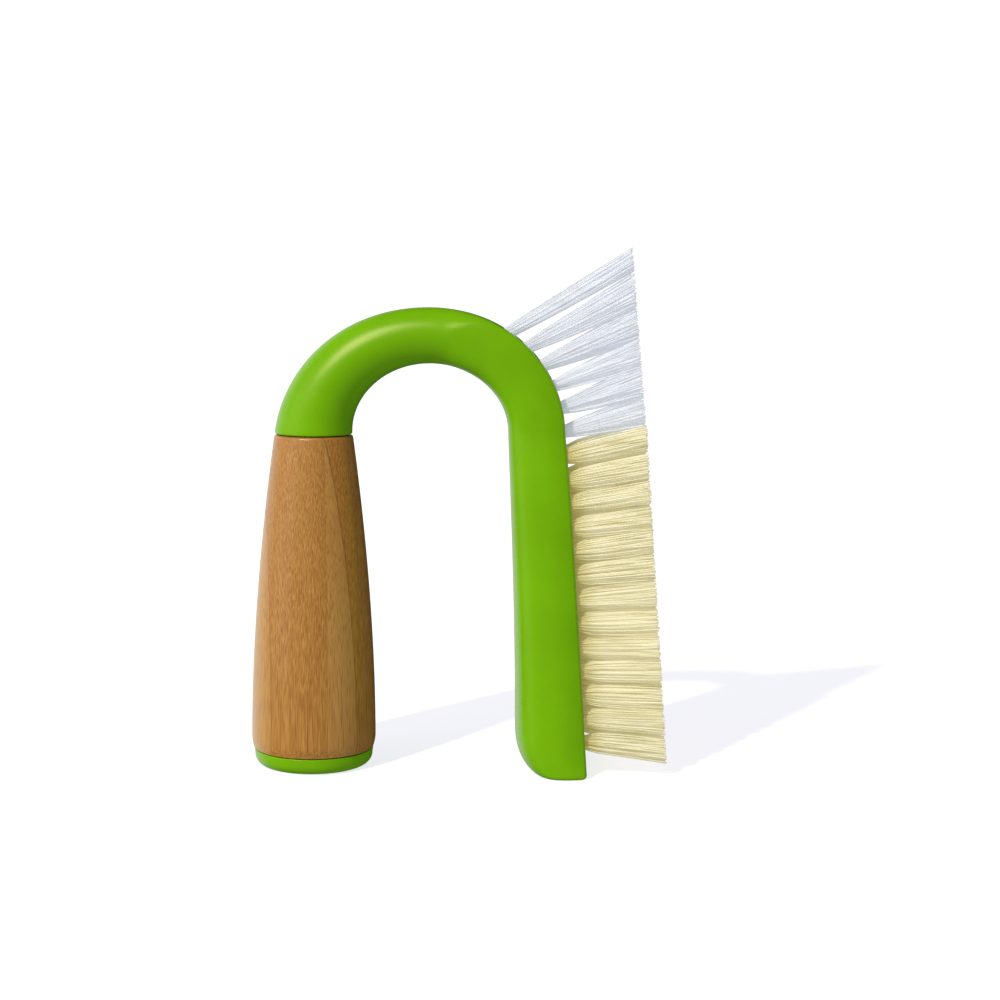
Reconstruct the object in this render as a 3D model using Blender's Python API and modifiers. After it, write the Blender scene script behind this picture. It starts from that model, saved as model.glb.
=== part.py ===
"""Grout brush: a bamboo grip and a long brush head, joined by a round plastic arch.

The brush stands on its two ends like an upside-down U. The grip's axis is the Z axis, the floor is
Z = 0, and the brush head stands towards +X with its bristles pointing along +X. The whole brush is
alike on both sides of the plane Y = 0. All lengths are in metres.
"""

import math

import bmesh
import bpy
from mathutils import Vector

# Gaps that neighbouring pieces keep, so that none of them share a point.
SEAT_GAP = 0.0003
CUT_OVERRUN = 0.004
WELD_DISTANCE = 0.000001

# The end cap: a plug with a rounded rim that closes the grip and carries it on the floor.
CAP_HEIGHT = 0.0054
CAP_SETBACK = 0.0002
CAP_BULGE = 0.0002
CAP_RIM_ROUND_HEIGHT = 0.0034
CAP_RIM_ROUND_WIDTH = 0.0037
CAP_FLOOR_THICKNESS = 0.0030
CAP_SPIGOT_LENGTH = 0.0090
CAP_SPIGOT_WALL = 0.0020

# The grip: a turned bamboo sleeve, fattest just above the cap.
GRIP_DIAMETER = 0.040
GRIP_TOP_DIAMETER = 0.0250
GRIP_TOP_HEIGHT = 0.1070
GRIP_TOP_ROUND = 0.0006
GRIP_BELLY_RISE = 0.0038
GRIP_FOOT_ROUND = 0.0006
GRIP_FLANK_POWER = 1.78
COUNTERBORE_DIAMETER = 0.0240
COUNTERBORE_DEPTH = 0.0165

# The tang: the round tail of the arch that fills the upper bore of the grip.
TANG_DIAMETER = 0.0140
TANG_LENGTH = 0.0390
TANG_END_CLEARANCE = 0.0010
TANG_CHAMFER = 0.0008

# The fixings hidden in the grip.
SCREW_DIAMETER = 0.0040
SCREW_BORE_CLEARANCE = 0.0008
SCREW_HEAD_RIM = 0.0020
SCREW_HEAD_HEIGHT = 0.0031
SCREW_HEAD_ROUND = 0.0008
SCREW_TIP_CHAMFER = 0.0006
SCREW_TIP_SETBACK = 0.0010
SOCKET_WIDTH = 0.0030
SOCKET_DEPTH = 0.0017
WASHER_RIM = 0.0037
WASHER_THICKNESS = 0.0012
INSERT_WALL = 0.0007
INSERT_BAND_RISE = 0.0003
INSERT_LENGTH = 0.0100
INSERT_BAND_SHARE = 0.36

# The arch: a round bar that bends over the hand and thins towards its top.
COLLAR_SETBACK = 0.00015
COLLAR_HEIGHT = 0.0009
COLLAR_ROUND = 0.0004
ARCH_TOP_THICKNESS = 0.0178
ARCH_TOP_WIDTH = 0.0172
ARCH_TAPER_POWER = 1.7
HAND_GAP_WIDTH = 0.0497
HAND_GAP_RISE = 0.0218

# The brush head: a long shell with a rounded back and a flat bristle face, widening to its toe.
SHOULDER_THICKNESS = 0.0181
SHOULDER_WIDTH = 0.0184
TOE_THICKNESS = 0.0228
TOE_WIDTH = 0.0430
HEAD_LEAN = 0.0033
HEAD_FLARE_POWER = 0.88
BACK_FULLNESS_POWER = 3.2
FACE_EDGE_ROUND = 0.0016
FLANK_WIDEST_SHARE = 0.58
FLANK_RADIUS = 0.018
FACE_START_ANGLE = math.radians(84)
FACE_FULL_ANGLE = math.radians(58)
TOE_BACK_ROUND_HEIGHT = 0.0130
TOE_BACK_ROUND_DEPTH = 0.0085
TOE_EDGE_ROUND = 0.0014

# The bristle tufts, each in a hole of its own, in rows that follow the edges of the head.
HOLE_DIAMETER = 0.0050
HOLE_DEPTH = 0.0085
ROOT_RECESS = 0.0010
FIRST_TUFT_HEIGHT = 0.0107
LAST_CREAM_DROP = 0.0069
BARE_FACE_LENGTH = 0.0223
OUTER_ROW_TOE_MARGIN = 0.0084
OUTER_ROW_TOP_MARGIN = 0.0039
INNER_PAIR_SHARE = 0.34
FAN_TOE_ANGLE = math.radians(-4.9)
FAN_SHOULDER_ANGLE = math.radians(13.0)
FAN_TOP_ANGLE = math.radians(30.5)

# The trim: bristle tips end on one line, which bends just above the shoulder.
CREAM_TOE_REACH = 0.0261
CREAM_TOP_REACH = 0.0260
WHITE_TOP_REACH = 0.0209
TRIM_BEND_RISE = 0.0028
TRIM_TOP_RISE = 0.0568

# The strands of a tuft, which spread from the root to the tips.
STRAND_SINK = 0.0006
ROOT_SPREAD_SHARE = 0.70
CREAM_STRAND_SHARE = 0.20
WHITE_STRAND_SHARE = 0.145
STRAND_TAPER_SHARE = 0.85
TIP_SPREAD_SHARE = 0.95

# How many lines of tufts there are, from the toe up, and how many strands a tuft holds.
CREAM_LINES = 13
PAIRED_LINES = 6
WHITE_LINES = 7
CREAM_STRANDS = 7
WHITE_STRANDS = 12

# How finely the shapes are divided.
GRIP_STEPS = 40
GRIP_FLANK_STEPS = 12
CAP_ROUND_STEPS = 6
CORNER_STEPS = 3
FIXING_STEPS = 20
SOCKET_SIDES = 6
ARCH_STEPS = 22
HEAD_STEPS = 9
TOE_STEPS = 6
QUARTER_STEPS = 6
FLANK_STEPS = 2
OUTLINE_STEPS = 60
HOLE_SIDES = 10
ROOT_SIDES = 8
STRAND_SIDES = 3
SHARP_ANGLE = math.radians(35)
GOLDEN_ANGLE = math.pi * (3 - math.sqrt(5))

# Places and sizes that several pieces share.
GRIP_FOOT_HEIGHT = CAP_HEIGHT + SEAT_GAP
GRIP_BELLY_HEIGHT = GRIP_FOOT_HEIGHT + GRIP_BELLY_RISE
GRIP_FOOT_RADIUS = GRIP_DIAMETER / 2 - GRIP_FOOT_ROUND
COUNTERBORE_TOP = GRIP_FOOT_HEIGHT + COUNTERBORE_DEPTH
SEAM_HEIGHT = GRIP_TOP_HEIGHT + SEAT_GAP
SHOULDER_HEIGHT = SEAM_HEIGHT + COLLAR_HEIGHT
ARCH_END_DIAMETER = GRIP_TOP_DIAMETER - 2 * COLLAR_SETBACK
ARCH_CENTRE_X = (ARCH_END_DIAMETER + HAND_GAP_WIDTH) / 2
HEAD_BACK_X = ARCH_CENTRE_X + HAND_GAP_WIDTH / 2
SHOULDER_FACE_X = HEAD_BACK_X + SHOULDER_THICKNESS
TOE_FACE_X = HEAD_BACK_X + HEAD_LEAN + TOE_THICKNESS
TANG_END_HEIGHT = SEAM_HEIGHT - TANG_LENGTH
WASHER_BOTTOM = COUNTERBORE_TOP - SEAT_GAP - WASHER_THICKNESS
FIXING_BORE_RADIUS = SCREW_DIAMETER / 2 + SEAT_GAP
INSERT_RADIUS = FIXING_BORE_RADIUS + INSERT_WALL + INSERT_BAND_RISE
ROOT_DIAMETER = HOLE_DIAMETER - 2 * SEAT_GAP

# Corners of the trim line, from the floor up.
TRIM_FOOT = Vector((TOE_FACE_X + CREAM_TOE_REACH, 0, 0))
TRIM_BEND = Vector((SHOULDER_FACE_X + CREAM_TOP_REACH, 0, SHOULDER_HEIGHT + TRIM_BEND_RISE))
TRIM_TOP = Vector((SHOULDER_FACE_X + WHITE_TOP_REACH, 0, SHOULDER_HEIGHT + TRIM_TOP_RISE))

# Colour (red, green, blue as seen on screen), roughness and metallic value of each finish.
FINISHES = {
    "green_plastic": ((0.42, 0.69, 0.02), 0.38, 0.0),
    "bamboo": ((0.68, 0.47, 0.23), 0.42, 0.0),
    "cream_bristle": ((0.90, 0.85, 0.64), 0.60, 0.0),
    "white_bristle": ((0.90, 0.91, 0.95), 0.55, 0.0),
    "steel": ((0.72, 0.73, 0.74), 0.30, 1.0),
    "brass": ((0.80, 0.64, 0.33), 0.32, 1.0),
}


def linear(channel):
    """The linear value of a screen colour channel."""
    return channel / 12.92 if channel <= 0.04045 else ((channel + 0.055) / 1.055) ** 2.4


def clear_scene():
    for obj in list(bpy.data.objects):
        bpy.data.objects.remove(obj, do_unlink=True)


def new_collection(name):
    collection = bpy.data.collections.new(name)
    bpy.context.scene.collection.children.link(collection)
    return collection


def finish_for(piece_name, finish_name):
    """A material of the piece's own in one of the finishes."""
    colour, roughness, metallic = FINISHES[finish_name]
    material = bpy.data.materials.new(piece_name + "_" + finish_name)
    material.use_nodes = True
    shader = material.node_tree.nodes["Principled BSDF"]
    shader.inputs["Base Color"].default_value = (*map(linear, colour), 1)
    shader.inputs["Roughness"].default_value = roughness
    shader.inputs["Metallic"].default_value = metallic
    return material


def add_piece(name, mesh, collection, finish_name):
    mesh.name = name
    piece = bpy.data.objects.new(name, mesh)
    collection.objects.link(piece)
    mesh.materials.clear()
    mesh.materials.append(finish_for(name, finish_name))
    mesh.shade_smooth()
    mesh.set_sharp_from_angle(angle=SHARP_ANGLE)
    return piece


def add_cutter(name, mesh, collection):
    mesh.name = name
    cutter = bpy.data.objects.new(name, mesh)
    collection.objects.link(cutter)
    cutter.hide_render = True
    cutter.display_type = "WIRE"
    return cutter


def cut(piece, cutter):
    modifier = piece.modifiers.new(cutter.name, "BOOLEAN")
    modifier.operation = "DIFFERENCE"
    modifier.object = cutter


def mesh_of(name, shape):
    """The mesh of a finished bmesh, its faces turned outwards."""
    bmesh.ops.recalc_face_normals(shape, faces=shape.faces)
    mesh = bpy.data.meshes.new(name)
    shape.to_mesh(mesh)
    shape.free()
    return mesh


def turned(name, profile, collection, finish_name, steps, closed=False):
    """A piece turned about the Z axis from (radius, height) points, listed down its outer side."""
    mesh = bpy.data.meshes.new(name)
    edges = [(i, i + 1) for i in range(len(profile) - 1)]
    if closed:
        edges.append((len(profile) - 1, 0))
    mesh.from_pydata([(radius, 0, height) for radius, height in profile], edges, [])
    piece = add_piece(name, mesh, collection, finish_name)
    screw = piece.modifiers.new("turning", "SCREW")
    screw.steps = steps
    screw.render_steps = steps
    screw.use_smooth_shade = True
    screw.use_merge_vertices = True
    screw.merge_threshold = WELD_DISTANCE
    return piece


def add_rod(shape, start, end, start_diameter, end_diameter, sides):
    """A closed straight rod, or a tapered one, added to a bmesh."""
    axis = end - start
    turn = axis.to_track_quat("Z", "Y").to_matrix().to_4x4()
    turn.translation = (start + end) / 2
    bmesh.ops.create_cone(
        shape,
        cap_ends=True,
        segments=sides,
        radius1=start_diameter / 2,
        radius2=end_diameter / 2,
        depth=axis.length,
        matrix=turn,
    )


def rod_mesh(name, start, end, diameter, sides):
    shape = bmesh.new()
    add_rod(shape, start, end, diameter, diameter, sides)
    return mesh_of(name, shape)


def quarter_turn(step, steps):
    """The angle of a step on the way from 0 to a right angle."""
    return math.pi / 2 * step / steps


def between(start, end, share):
    return start + (end - start) * share


def smooth_share(value):
    """Runs from 0 to 1 with no corner at either end."""
    value = min(max(value, 0.0), 1.0)
    return value * value * (3 - 2 * value)


def elliptic_inset(depth, height, round_height):
    """How far an elliptic edge rounding draws a wall in, at a height above its lowest edge."""
    below = max(round_height - height, 0.0) / round_height
    return depth * (1 - math.sqrt(1 - below * below))


# The grip and the cap that closes it


def grip_radius(height):
    """The outer radius of the bamboo, from its belly up."""
    share = max(height - GRIP_BELLY_HEIGHT, 0.0) / (GRIP_TOP_HEIGHT - GRIP_BELLY_HEIGHT)
    return between(GRIP_DIAMETER, GRIP_TOP_DIAMETER, share**GRIP_FLANK_POWER) / 2


def grip_profile():
    tang_bore_radius = TANG_DIAMETER / 2 + SEAT_GAP
    tang_bore_bottom = TANG_END_HEIGHT - TANG_END_CLEARANCE
    screw_bore_radius = SCREW_DIAMETER / 2 + SCREW_BORE_CLEARANCE
    flank_top = GRIP_TOP_HEIGHT - GRIP_TOP_ROUND
    points = [
        (tang_bore_radius + GRIP_TOP_ROUND, GRIP_TOP_HEIGHT),
        (grip_radius(flank_top) - GRIP_TOP_ROUND, GRIP_TOP_HEIGHT),
    ]
    for i in range(GRIP_FLANK_STEPS + 1):
        height = between(flank_top, GRIP_BELLY_HEIGHT, i / GRIP_FLANK_STEPS)
        points.append((grip_radius(height), height))
    for i in range(1, CORNER_STEPS + 1):
        share = i / CORNER_STEPS
        height = GRIP_BELLY_HEIGHT - GRIP_BELLY_RISE * share
        points.append((GRIP_DIAMETER / 2 - GRIP_FOOT_ROUND * share**2, height))
    points += [
        (COUNTERBORE_DIAMETER / 2, GRIP_FOOT_HEIGHT),
        (COUNTERBORE_DIAMETER / 2, COUNTERBORE_TOP),
        (screw_bore_radius, COUNTERBORE_TOP),
        (screw_bore_radius, tang_bore_bottom),
        (tang_bore_radius, tang_bore_bottom),
        (tang_bore_radius, flank_top),
    ]
    return points


def cap_profile():
    rim_radius = GRIP_FOOT_RADIUS - CAP_SETBACK
    bulge_radius = rim_radius - CAP_BULGE
    foot_radius = rim_radius - CAP_RIM_ROUND_WIDTH
    spigot_radius = COUNTERBORE_DIAMETER / 2 - SEAT_GAP
    hollow_radius = spigot_radius - CAP_SPIGOT_WALL
    spigot_top = CAP_HEIGHT + CAP_SPIGOT_LENGTH
    points = [
        (0, CAP_FLOOR_THICKNESS),
        (hollow_radius, CAP_FLOOR_THICKNESS),
        (hollow_radius, spigot_top),
        (spigot_radius, spigot_top),
        (spigot_radius, CAP_HEIGHT),
        (rim_radius, CAP_HEIGHT),
    ]
    for i in range(CAP_ROUND_STEPS + 1):
        angle = quarter_turn(i, CAP_ROUND_STEPS)
        radius = between(foot_radius, bulge_radius, math.cos(angle))
        points.append((radius, CAP_RIM_ROUND_HEIGHT * (1 - math.sin(angle))))
    points.append((0, 0))
    return points


def make_grip(parts):
    turned("bamboo_sleeve", grip_profile(), parts, "bamboo", GRIP_STEPS, closed=True)
    turned("end_cap", cap_profile(), parts, "green_plastic", GRIP_STEPS)


# The fixings that pull the tang down into the grip


def make_washer(parts):
    top = WASHER_BOTTOM + WASHER_THICKNESS
    rim = FIXING_BORE_RADIUS + WASHER_RIM
    profile = [
        (FIXING_BORE_RADIUS, top),
        (rim, top),
        (rim, WASHER_BOTTOM),
        (FIXING_BORE_RADIUS, WASHER_BOTTOM),
    ]
    turned("washer", profile, parts, "steel", FIXING_STEPS, closed=True)


def make_screw(parts, cutters):
    head_top = WASHER_BOTTOM - SEAT_GAP
    head_bottom = head_top - SCREW_HEAD_HEIGHT
    tip = TANG_END_HEIGHT + INSERT_LENGTH - SCREW_TIP_SETBACK
    shank = SCREW_DIAMETER / 2
    head = shank + SCREW_HEAD_RIM
    profile = [
        (0, tip),
        (shank - SCREW_TIP_CHAMFER, tip),
        (shank, tip - SCREW_TIP_CHAMFER),
        (shank, head_top),
        (head, head_top),
        (head, head_bottom + SCREW_HEAD_ROUND),
        (head - SCREW_HEAD_ROUND, head_bottom),
        (0, head_bottom),
    ]
    screw = turned("tie_screw", profile, parts, "steel", FIXING_STEPS)
    socket_start = Vector((0, 0, head_bottom - CUT_OVERRUN))
    socket_end = Vector((0, 0, head_bottom + SOCKET_DEPTH))
    socket_diameter = SOCKET_WIDTH / math.cos(math.pi / SOCKET_SIDES)
    socket = rod_mesh("screw_socket", socket_start, socket_end, socket_diameter, SOCKET_SIDES)
    cut(screw, add_cutter("screw_socket", socket, cutters))


def make_insert(parts):
    """A brass sleeve with two raised bands, set in the end of the tang."""
    bottom = TANG_END_HEIGHT
    top = bottom + INSERT_LENGTH
    waist = INSERT_RADIUS - INSERT_BAND_RISE
    band = INSERT_LENGTH * INSERT_BAND_SHARE
    profile = [
        (FIXING_BORE_RADIUS, top),
        (waist, top),
        (INSERT_RADIUS, top - INSERT_BAND_RISE),
        (INSERT_RADIUS, top - band),
        (waist, top - band - INSERT_BAND_RISE),
        (waist, bottom + band + INSERT_BAND_RISE),
        (INSERT_RADIUS, bottom + band),
        (INSERT_RADIUS, bottom + INSERT_BAND_RISE),
        (waist, bottom),
        (FIXING_BORE_RADIUS, bottom),
    ]
    turned("threaded_insert", profile, parts, "brass", FIXING_STEPS, closed=True)


# The arch and the brush head, one moulding


class Station:
    """One cross-section of the moulding: where it is, which way is outwards, and its shape."""

    def __init__(self, back, outward, thickness, width):
        self.back = back
        self.outward = outward
        self.thickness = thickness
        self.half_width = width / 2
        self.face_share = 0.0

    def face(self):
        """The middle of the section's outer side."""
        return self.back + self.outward * self.thickness

    def ring(self):
        """The section's points, once round, from the middle of its back over the +Y side."""
        front_depth = between(self.thickness / 2, FACE_EDGE_ROUND, self.face_share)
        front_round = between(self.half_width, FACE_EDGE_ROUND, self.face_share)
        widest = self.thickness * between(1 / 2, FLANK_WIDEST_SHARE, self.face_share)
        slope = (self.thickness - front_depth - widest) / FLANK_RADIUS
        first_angle = math.atan(slope * front_depth / front_round)
        flank_end = self.thickness - front_depth * (1 - math.sin(first_angle))
        power = 2 / between(2, BACK_FULLNESS_POWER, self.face_share)
        half = []
        for i in range(QUARTER_STEPS + 1):
            angle = quarter_turn(i, QUARTER_STEPS)
            depth = widest * (1 - math.cos(angle) ** power)
            half.append((depth, self.half_width * math.sin(angle) ** power))
        for i in range(1, FLANK_STEPS + 1):
            depth = between(widest, flank_end, i / FLANK_STEPS)
            half.append((depth, self.half_width - (depth - widest) ** 2 / (2 * FLANK_RADIUS)))
        edge_start = half[-1][1]
        for i in range(1, QUARTER_STEPS + 1):
            angle = between(first_angle, math.pi / 2, i / QUARTER_STEPS)
            depth = self.thickness - front_depth * (1 - math.sin(angle))
            half.append((depth, edge_start - front_round * (math.cos(first_angle) - math.cos(angle))))
        other_half = [(depth, -across) for depth, across in half[:0:-1]]
        section = half + [(self.thickness, 0)] + other_half
        return [self.back + self.outward * depth + Vector((0, across, 0)) for depth, across in section]


def taper_share(angle):
    """How far the arch has thickened from its top, 0, to its end at the grip, 1."""
    return max(angle / (math.pi / 2) - 1, 0.0) ** ARCH_TAPER_POWER


def shoulder_share(angle):
    """How far the arch has changed from its top, 0, to the shoulder of the head, 1."""
    return max(1 - angle / (math.pi / 2), 0.0) ** 2


def arch_size(top, shoulder, angle):
    """A thickness or a width of the arch, which has one value at its top and one at the shoulder."""
    grip_side = (ARCH_END_DIAMETER - top) * taper_share(angle)
    head_side = (shoulder - top) * shoulder_share(angle)
    return top + grip_side + head_side


def arch_station(angle):
    """The section of the arch at an angle that is 180 degrees at the grip and 0 at the head."""
    half_gap = HAND_GAP_WIDTH / 2
    centre = Vector((ARCH_CENTRE_X, 0, SHOULDER_HEIGHT))
    back = centre + Vector((half_gap * math.cos(angle), 0, HAND_GAP_RISE * math.sin(angle)))
    outward = Vector((HAND_GAP_RISE * math.cos(angle), 0, half_gap * math.sin(angle))).normalized()
    thickness = arch_size(ARCH_TOP_THICKNESS, SHOULDER_THICKNESS, angle)
    width = arch_size(ARCH_TOP_WIDTH, SHOULDER_WIDTH, angle)
    station = Station(back, outward, thickness, width)
    station.face_share = smooth_share(
        (FACE_START_ANGLE - angle) / (FACE_START_ANGLE - FACE_FULL_ANGLE)
    )
    return station


def head_station(height):
    """The section of the brush head at a height, with no rounding of its toe."""
    share = 1 - height / SHOULDER_HEIGHT
    flare = share**HEAD_FLARE_POWER
    lean = HEAD_LEAN * math.sin(math.pi / 2 * share)
    back = Vector((HEAD_BACK_X + lean, 0, height))
    thickness = between(SHOULDER_FACE_X, TOE_FACE_X, flare) - back.x
    width = between(SHOULDER_WIDTH, TOE_WIDTH, flare)
    station = Station(back, Vector((1, 0, 0)), thickness, width)
    station.face_share = 1.0
    return station


def toe_station(height):
    """The section near the floor, where the back and the edges round in to the flat foot."""
    station = head_station(height)
    back_inset = elliptic_inset(TOE_BACK_ROUND_DEPTH, height, TOE_BACK_ROUND_HEIGHT)
    edge_inset = elliptic_inset(TOE_EDGE_ROUND, height, TOE_EDGE_ROUND)
    station.back.x += back_inset
    station.thickness -= back_inset + edge_inset
    station.half_width -= edge_inset
    return station


def round_station(height, diameter):
    """A round section of the tang or the collar, on the grip's axis."""
    return Station(Vector((diameter / 2, 0, height)), Vector((-1, 0, 0)), diameter, diameter)


def moulding_stations():
    """Every section of the moulding, from the end of the tang over the arch to the toe."""
    stations = [
        round_station(TANG_END_HEIGHT, TANG_DIAMETER - 2 * TANG_CHAMFER),
        round_station(TANG_END_HEIGHT + TANG_CHAMFER, TANG_DIAMETER),
        round_station(SEAM_HEIGHT, TANG_DIAMETER),
        round_station(SEAM_HEIGHT, ARCH_END_DIAMETER - 2 * COLLAR_ROUND),
        round_station(SEAM_HEIGHT + COLLAR_ROUND, ARCH_END_DIAMETER),
    ]
    stations += [arch_station(math.pi * (1 - i / ARCH_STEPS)) for i in range(ARCH_STEPS + 1)]
    for i in range(1, HEAD_STEPS + 1):
        height = between(SHOULDER_HEIGHT, TOE_BACK_ROUND_HEIGHT, i / HEAD_STEPS)
        stations.append(head_station(height))
    for i in range(1, TOE_STEPS + 1):
        height = TOE_BACK_ROUND_HEIGHT * (1 - math.sin(quarter_turn(i, TOE_STEPS)))
        if height > TOE_EDGE_ROUND:
            stations.append(toe_station(height))
    for i in range(CORNER_STEPS + 1):
        height = TOE_EDGE_ROUND * (1 - math.sin(quarter_turn(i, CORNER_STEPS)))
        stations.append(toe_station(height))
    return stations


def loft(name, rings):
    """A closed skin over rings of equally many points, with a flat cap on each end."""
    shape = bmesh.new()
    loops = [[shape.verts.new(point) for point in ring] for ring in rings]
    for ring, following in zip(loops, loops[1:]):
        for i in range(len(ring)):
            j = (i + 1) % len(ring)
            shape.faces.new((ring[i], ring[j], following[j], following[i]))
    shape.faces.new(loops[0])
    shape.faces.new(loops[-1])
    bmesh.ops.remove_doubles(shape, verts=shape.verts, dist=WELD_DISTANCE)
    return mesh_of(name, shape)


def make_moulding(parts, cutters, tufts):
    rings = [station.ring() for station in moulding_stations()]
    moulding = add_piece("arch_body", loft("arch_body", rings), parts, "green_plastic")
    pocket_start = Vector((0, 0, TANG_END_HEIGHT - CUT_OVERRUN))
    pocket_end = Vector((0, 0, TANG_END_HEIGHT + INSERT_LENGTH + SEAT_GAP))
    pocket_diameter = 2 * (INSERT_RADIUS + SEAT_GAP)
    pocket = rod_mesh("insert_pocket", pocket_start, pocket_end, pocket_diameter, FIXING_STEPS)
    cut(moulding, add_cutter("insert_pocket", pocket, cutters))
    holes = bmesh.new()
    for tuft in tufts:
        bottom = tuft.foot - tuft.aim * HOLE_DEPTH
        mouth = tuft.foot + tuft.aim * CUT_OVERRUN
        add_rod(holes, bottom, mouth, HOLE_DIAMETER, HOLE_DIAMETER, HOLE_SIDES)
    cut(moulding, add_cutter("tuft_holes", mesh_of("tuft_holes", holes), cutters))


# The bristle tufts


class Tuft:
    """One tuft: the middle of its hole's mouth, the way it points, and its bristles."""

    def __init__(self, name, foot, angle, white):
        self.name = name
        self.foot = foot
        self.aim = Vector((math.cos(angle), 0, math.sin(angle)))
        self.finish_name = "white_bristle" if white else "cream_bristle"
        self.strands = WHITE_STRANDS if white else CREAM_STRANDS
        self.strand_diameter = ROOT_DIAMETER * (WHITE_STRAND_SHARE if white else CREAM_STRAND_SHARE)

    def tip(self):
        """The middle of its tips, on the trim line."""
        return self.foot + self.aim * distance_to_trim(self.foot, self.aim)

    def tip_spread(self, tufts):
        """How wide its tips spread: a little less than the way across to the nearest other tips."""
        spacings = []
        for other in tufts:
            if other is not self:
                way = other.tip() - self.tip()
                spacings.append((way - self.aim * way.dot(self.aim)).length)
        return min(spacings) * TIP_SPREAD_SHARE


def straight_face():
    """Points up the middle of the bristle face, from the toe to the shoulder."""
    heights = [SHOULDER_HEIGHT * i / OUTLINE_STEPS for i in range(OUTLINE_STEPS + 1)]
    return [head_station(height).face() for height in heights]


def arched_face():
    """Points over the middle of the bristle face, from the shoulder to where the face begins."""
    angles = [FACE_START_ANGLE * i / OUTLINE_STEPS for i in range(OUTLINE_STEPS + 1)]
    return [arch_station(angle).face() for angle in angles]


def length_of(outline):
    return sum((end - start).length for start, end in zip(outline, outline[1:]))


def point_along(outline, distance):
    for start, end in zip(outline, outline[1:]):
        length = (end - start).length
        if distance < length:
            return start.lerp(end, distance / length)
        distance -= length
    return outline[-1].copy()


def plan_tufts():
    """Every tuft's place: staggered cream rows down the head, and a single white row over them.

    The lowest white tuft stands between the top two cream ones.
    """
    outline = straight_face() + arched_face()
    cream_end = length_of(straight_face()) - LAST_CREAM_DROP
    white_end = length_of(outline) - BARE_FACE_LENGTH
    last_line = CREAM_LINES - 1
    tufts = []

    def place_cream(name, line, across):
        share = line / last_line
        foot = point_along(outline, between(FIRST_TUFT_HEIGHT, cream_end, share))
        foot.y = across
        tufts.append(Tuft(name, foot, between(FAN_TOE_ANGLE, FAN_SHOULDER_ANGLE, share), False))

    def place_white(name, share):
        foot = point_along(outline, between(cream_end, white_end, share))
        tufts.append(Tuft(name, foot, between(FAN_SHOULDER_ANGLE, FAN_TOP_ANGLE, share), True))

    def outer_offset(line):
        toe_offset = TOE_WIDTH / 2 - OUTER_ROW_TOE_MARGIN
        top_offset = SHOULDER_WIDTH / 2 - OUTER_ROW_TOP_MARGIN
        return between(toe_offset, top_offset, line / last_line)

    for line in range(CREAM_LINES):
        number = f"{CREAM_LINES - line:02d}"
        place_cream("cream_tuft_front_" + number, line, -outer_offset(line))
        place_cream("cream_tuft_back_" + number, line, outer_offset(line))
    for gap in range(last_line - 1):
        line = gap + 0.5
        number = f"{last_line - gap:02d}"
        if gap < PAIRED_LINES:
            inner_offset = outer_offset(line) * INNER_PAIR_SHARE
            place_cream("cream_tuft_inner_front_" + number, line, -inner_offset)
            place_cream("cream_tuft_inner_back_" + number, line, inner_offset)
        else:
            place_cream("cream_tuft_middle_" + number, line, 0)
    for i in range(WHITE_LINES):
        place_white(f"white_tuft_{WHITE_LINES - i}", i / (WHITE_LINES - 1))
    return tufts


def distance_to_line(start, way, low, high):
    """How far it is along a way to the line through two points, seen along Y."""
    slope = (high.x - low.x) / (high.z - low.z)
    return (low.x + slope * (start.z - low.z) - start.x) / (way.x - slope * way.z)


def distance_to_trim(start, way):
    """How far a straight bristle runs until the trim line ends it."""
    distance = distance_to_line(start, way, TRIM_FOOT, TRIM_BEND)
    if start.z + way.z * distance > TRIM_BEND.z:
        distance = distance_to_line(start, way, TRIM_BEND, TRIM_TOP)
    return distance


def united(first, second):
    """One mesh of two that overlap. Both are used up."""
    base = bpy.data.objects.new("base", first)
    added = bpy.data.objects.new("added", second)
    for obj in (base, added):
        bpy.context.scene.collection.objects.link(obj)
    union = base.modifiers.new("union", "BOOLEAN")
    union.operation = "UNION"
    union.object = added
    graph = bpy.context.evaluated_depsgraph_get()
    mesh = bpy.data.meshes.new_from_object(base.evaluated_get(graph))
    for obj in (base, added):
        bpy.data.objects.remove(obj, do_unlink=True)
    bpy.data.meshes.remove(first)
    bpy.data.meshes.remove(second)
    return mesh


def tuft_mesh(tuft, tip_spread):
    """A root that fills the hole, with strands that rise from it and spread like a brush."""
    side = Vector((0, 1, 0))
    rise = tuft.aim.cross(side)
    root_bottom = tuft.foot - tuft.aim * (HOLE_DEPTH - SEAT_GAP)
    root_top = tuft.foot - tuft.aim * ROOT_RECESS
    tip_middle = tuft.tip()
    root_reach = ROOT_DIAMETER / 2 * ROOT_SPREAD_SHARE
    tip_reach = tip_spread / 2
    tip_diameter = tuft.strand_diameter * STRAND_TAPER_SHARE
    strands = bmesh.new()
    for i in range(tuft.strands):
        spread = math.sqrt((i + 0.5) / tuft.strands)
        angle = GOLDEN_ANGLE * i
        spoke = (side * math.cos(angle) + rise * math.sin(angle)) * spread
        low = root_top + spoke * root_reach
        way = (tip_middle + spoke * tip_reach - low).normalized()
        high = low + way * distance_to_trim(low, way)
        sunk = low - way * STRAND_SINK
        add_rod(strands, sunk, high, tuft.strand_diameter, tip_diameter, STRAND_SIDES)
    root = rod_mesh(tuft.name, root_bottom, root_top, ROOT_DIAMETER, ROOT_SIDES)
    return united(root, mesh_of(tuft.name + "_strands", strands))


def make_tufts(parts, tufts):
    for tuft in tufts:
        mesh = tuft_mesh(tuft, tuft.tip_spread(tufts))
        add_piece(tuft.name, mesh, parts, tuft.finish_name)


def main():
    clear_scene()
    parts = new_collection("grout_brush")
    cutters = new_collection("cutters")
    tufts = plan_tufts()
    make_grip(parts)
    make_washer(parts)
    make_screw(parts, cutters)
    make_insert(parts)
    make_moulding(parts, cutters, tufts)
    make_tufts(parts, tufts)


main()
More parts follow.
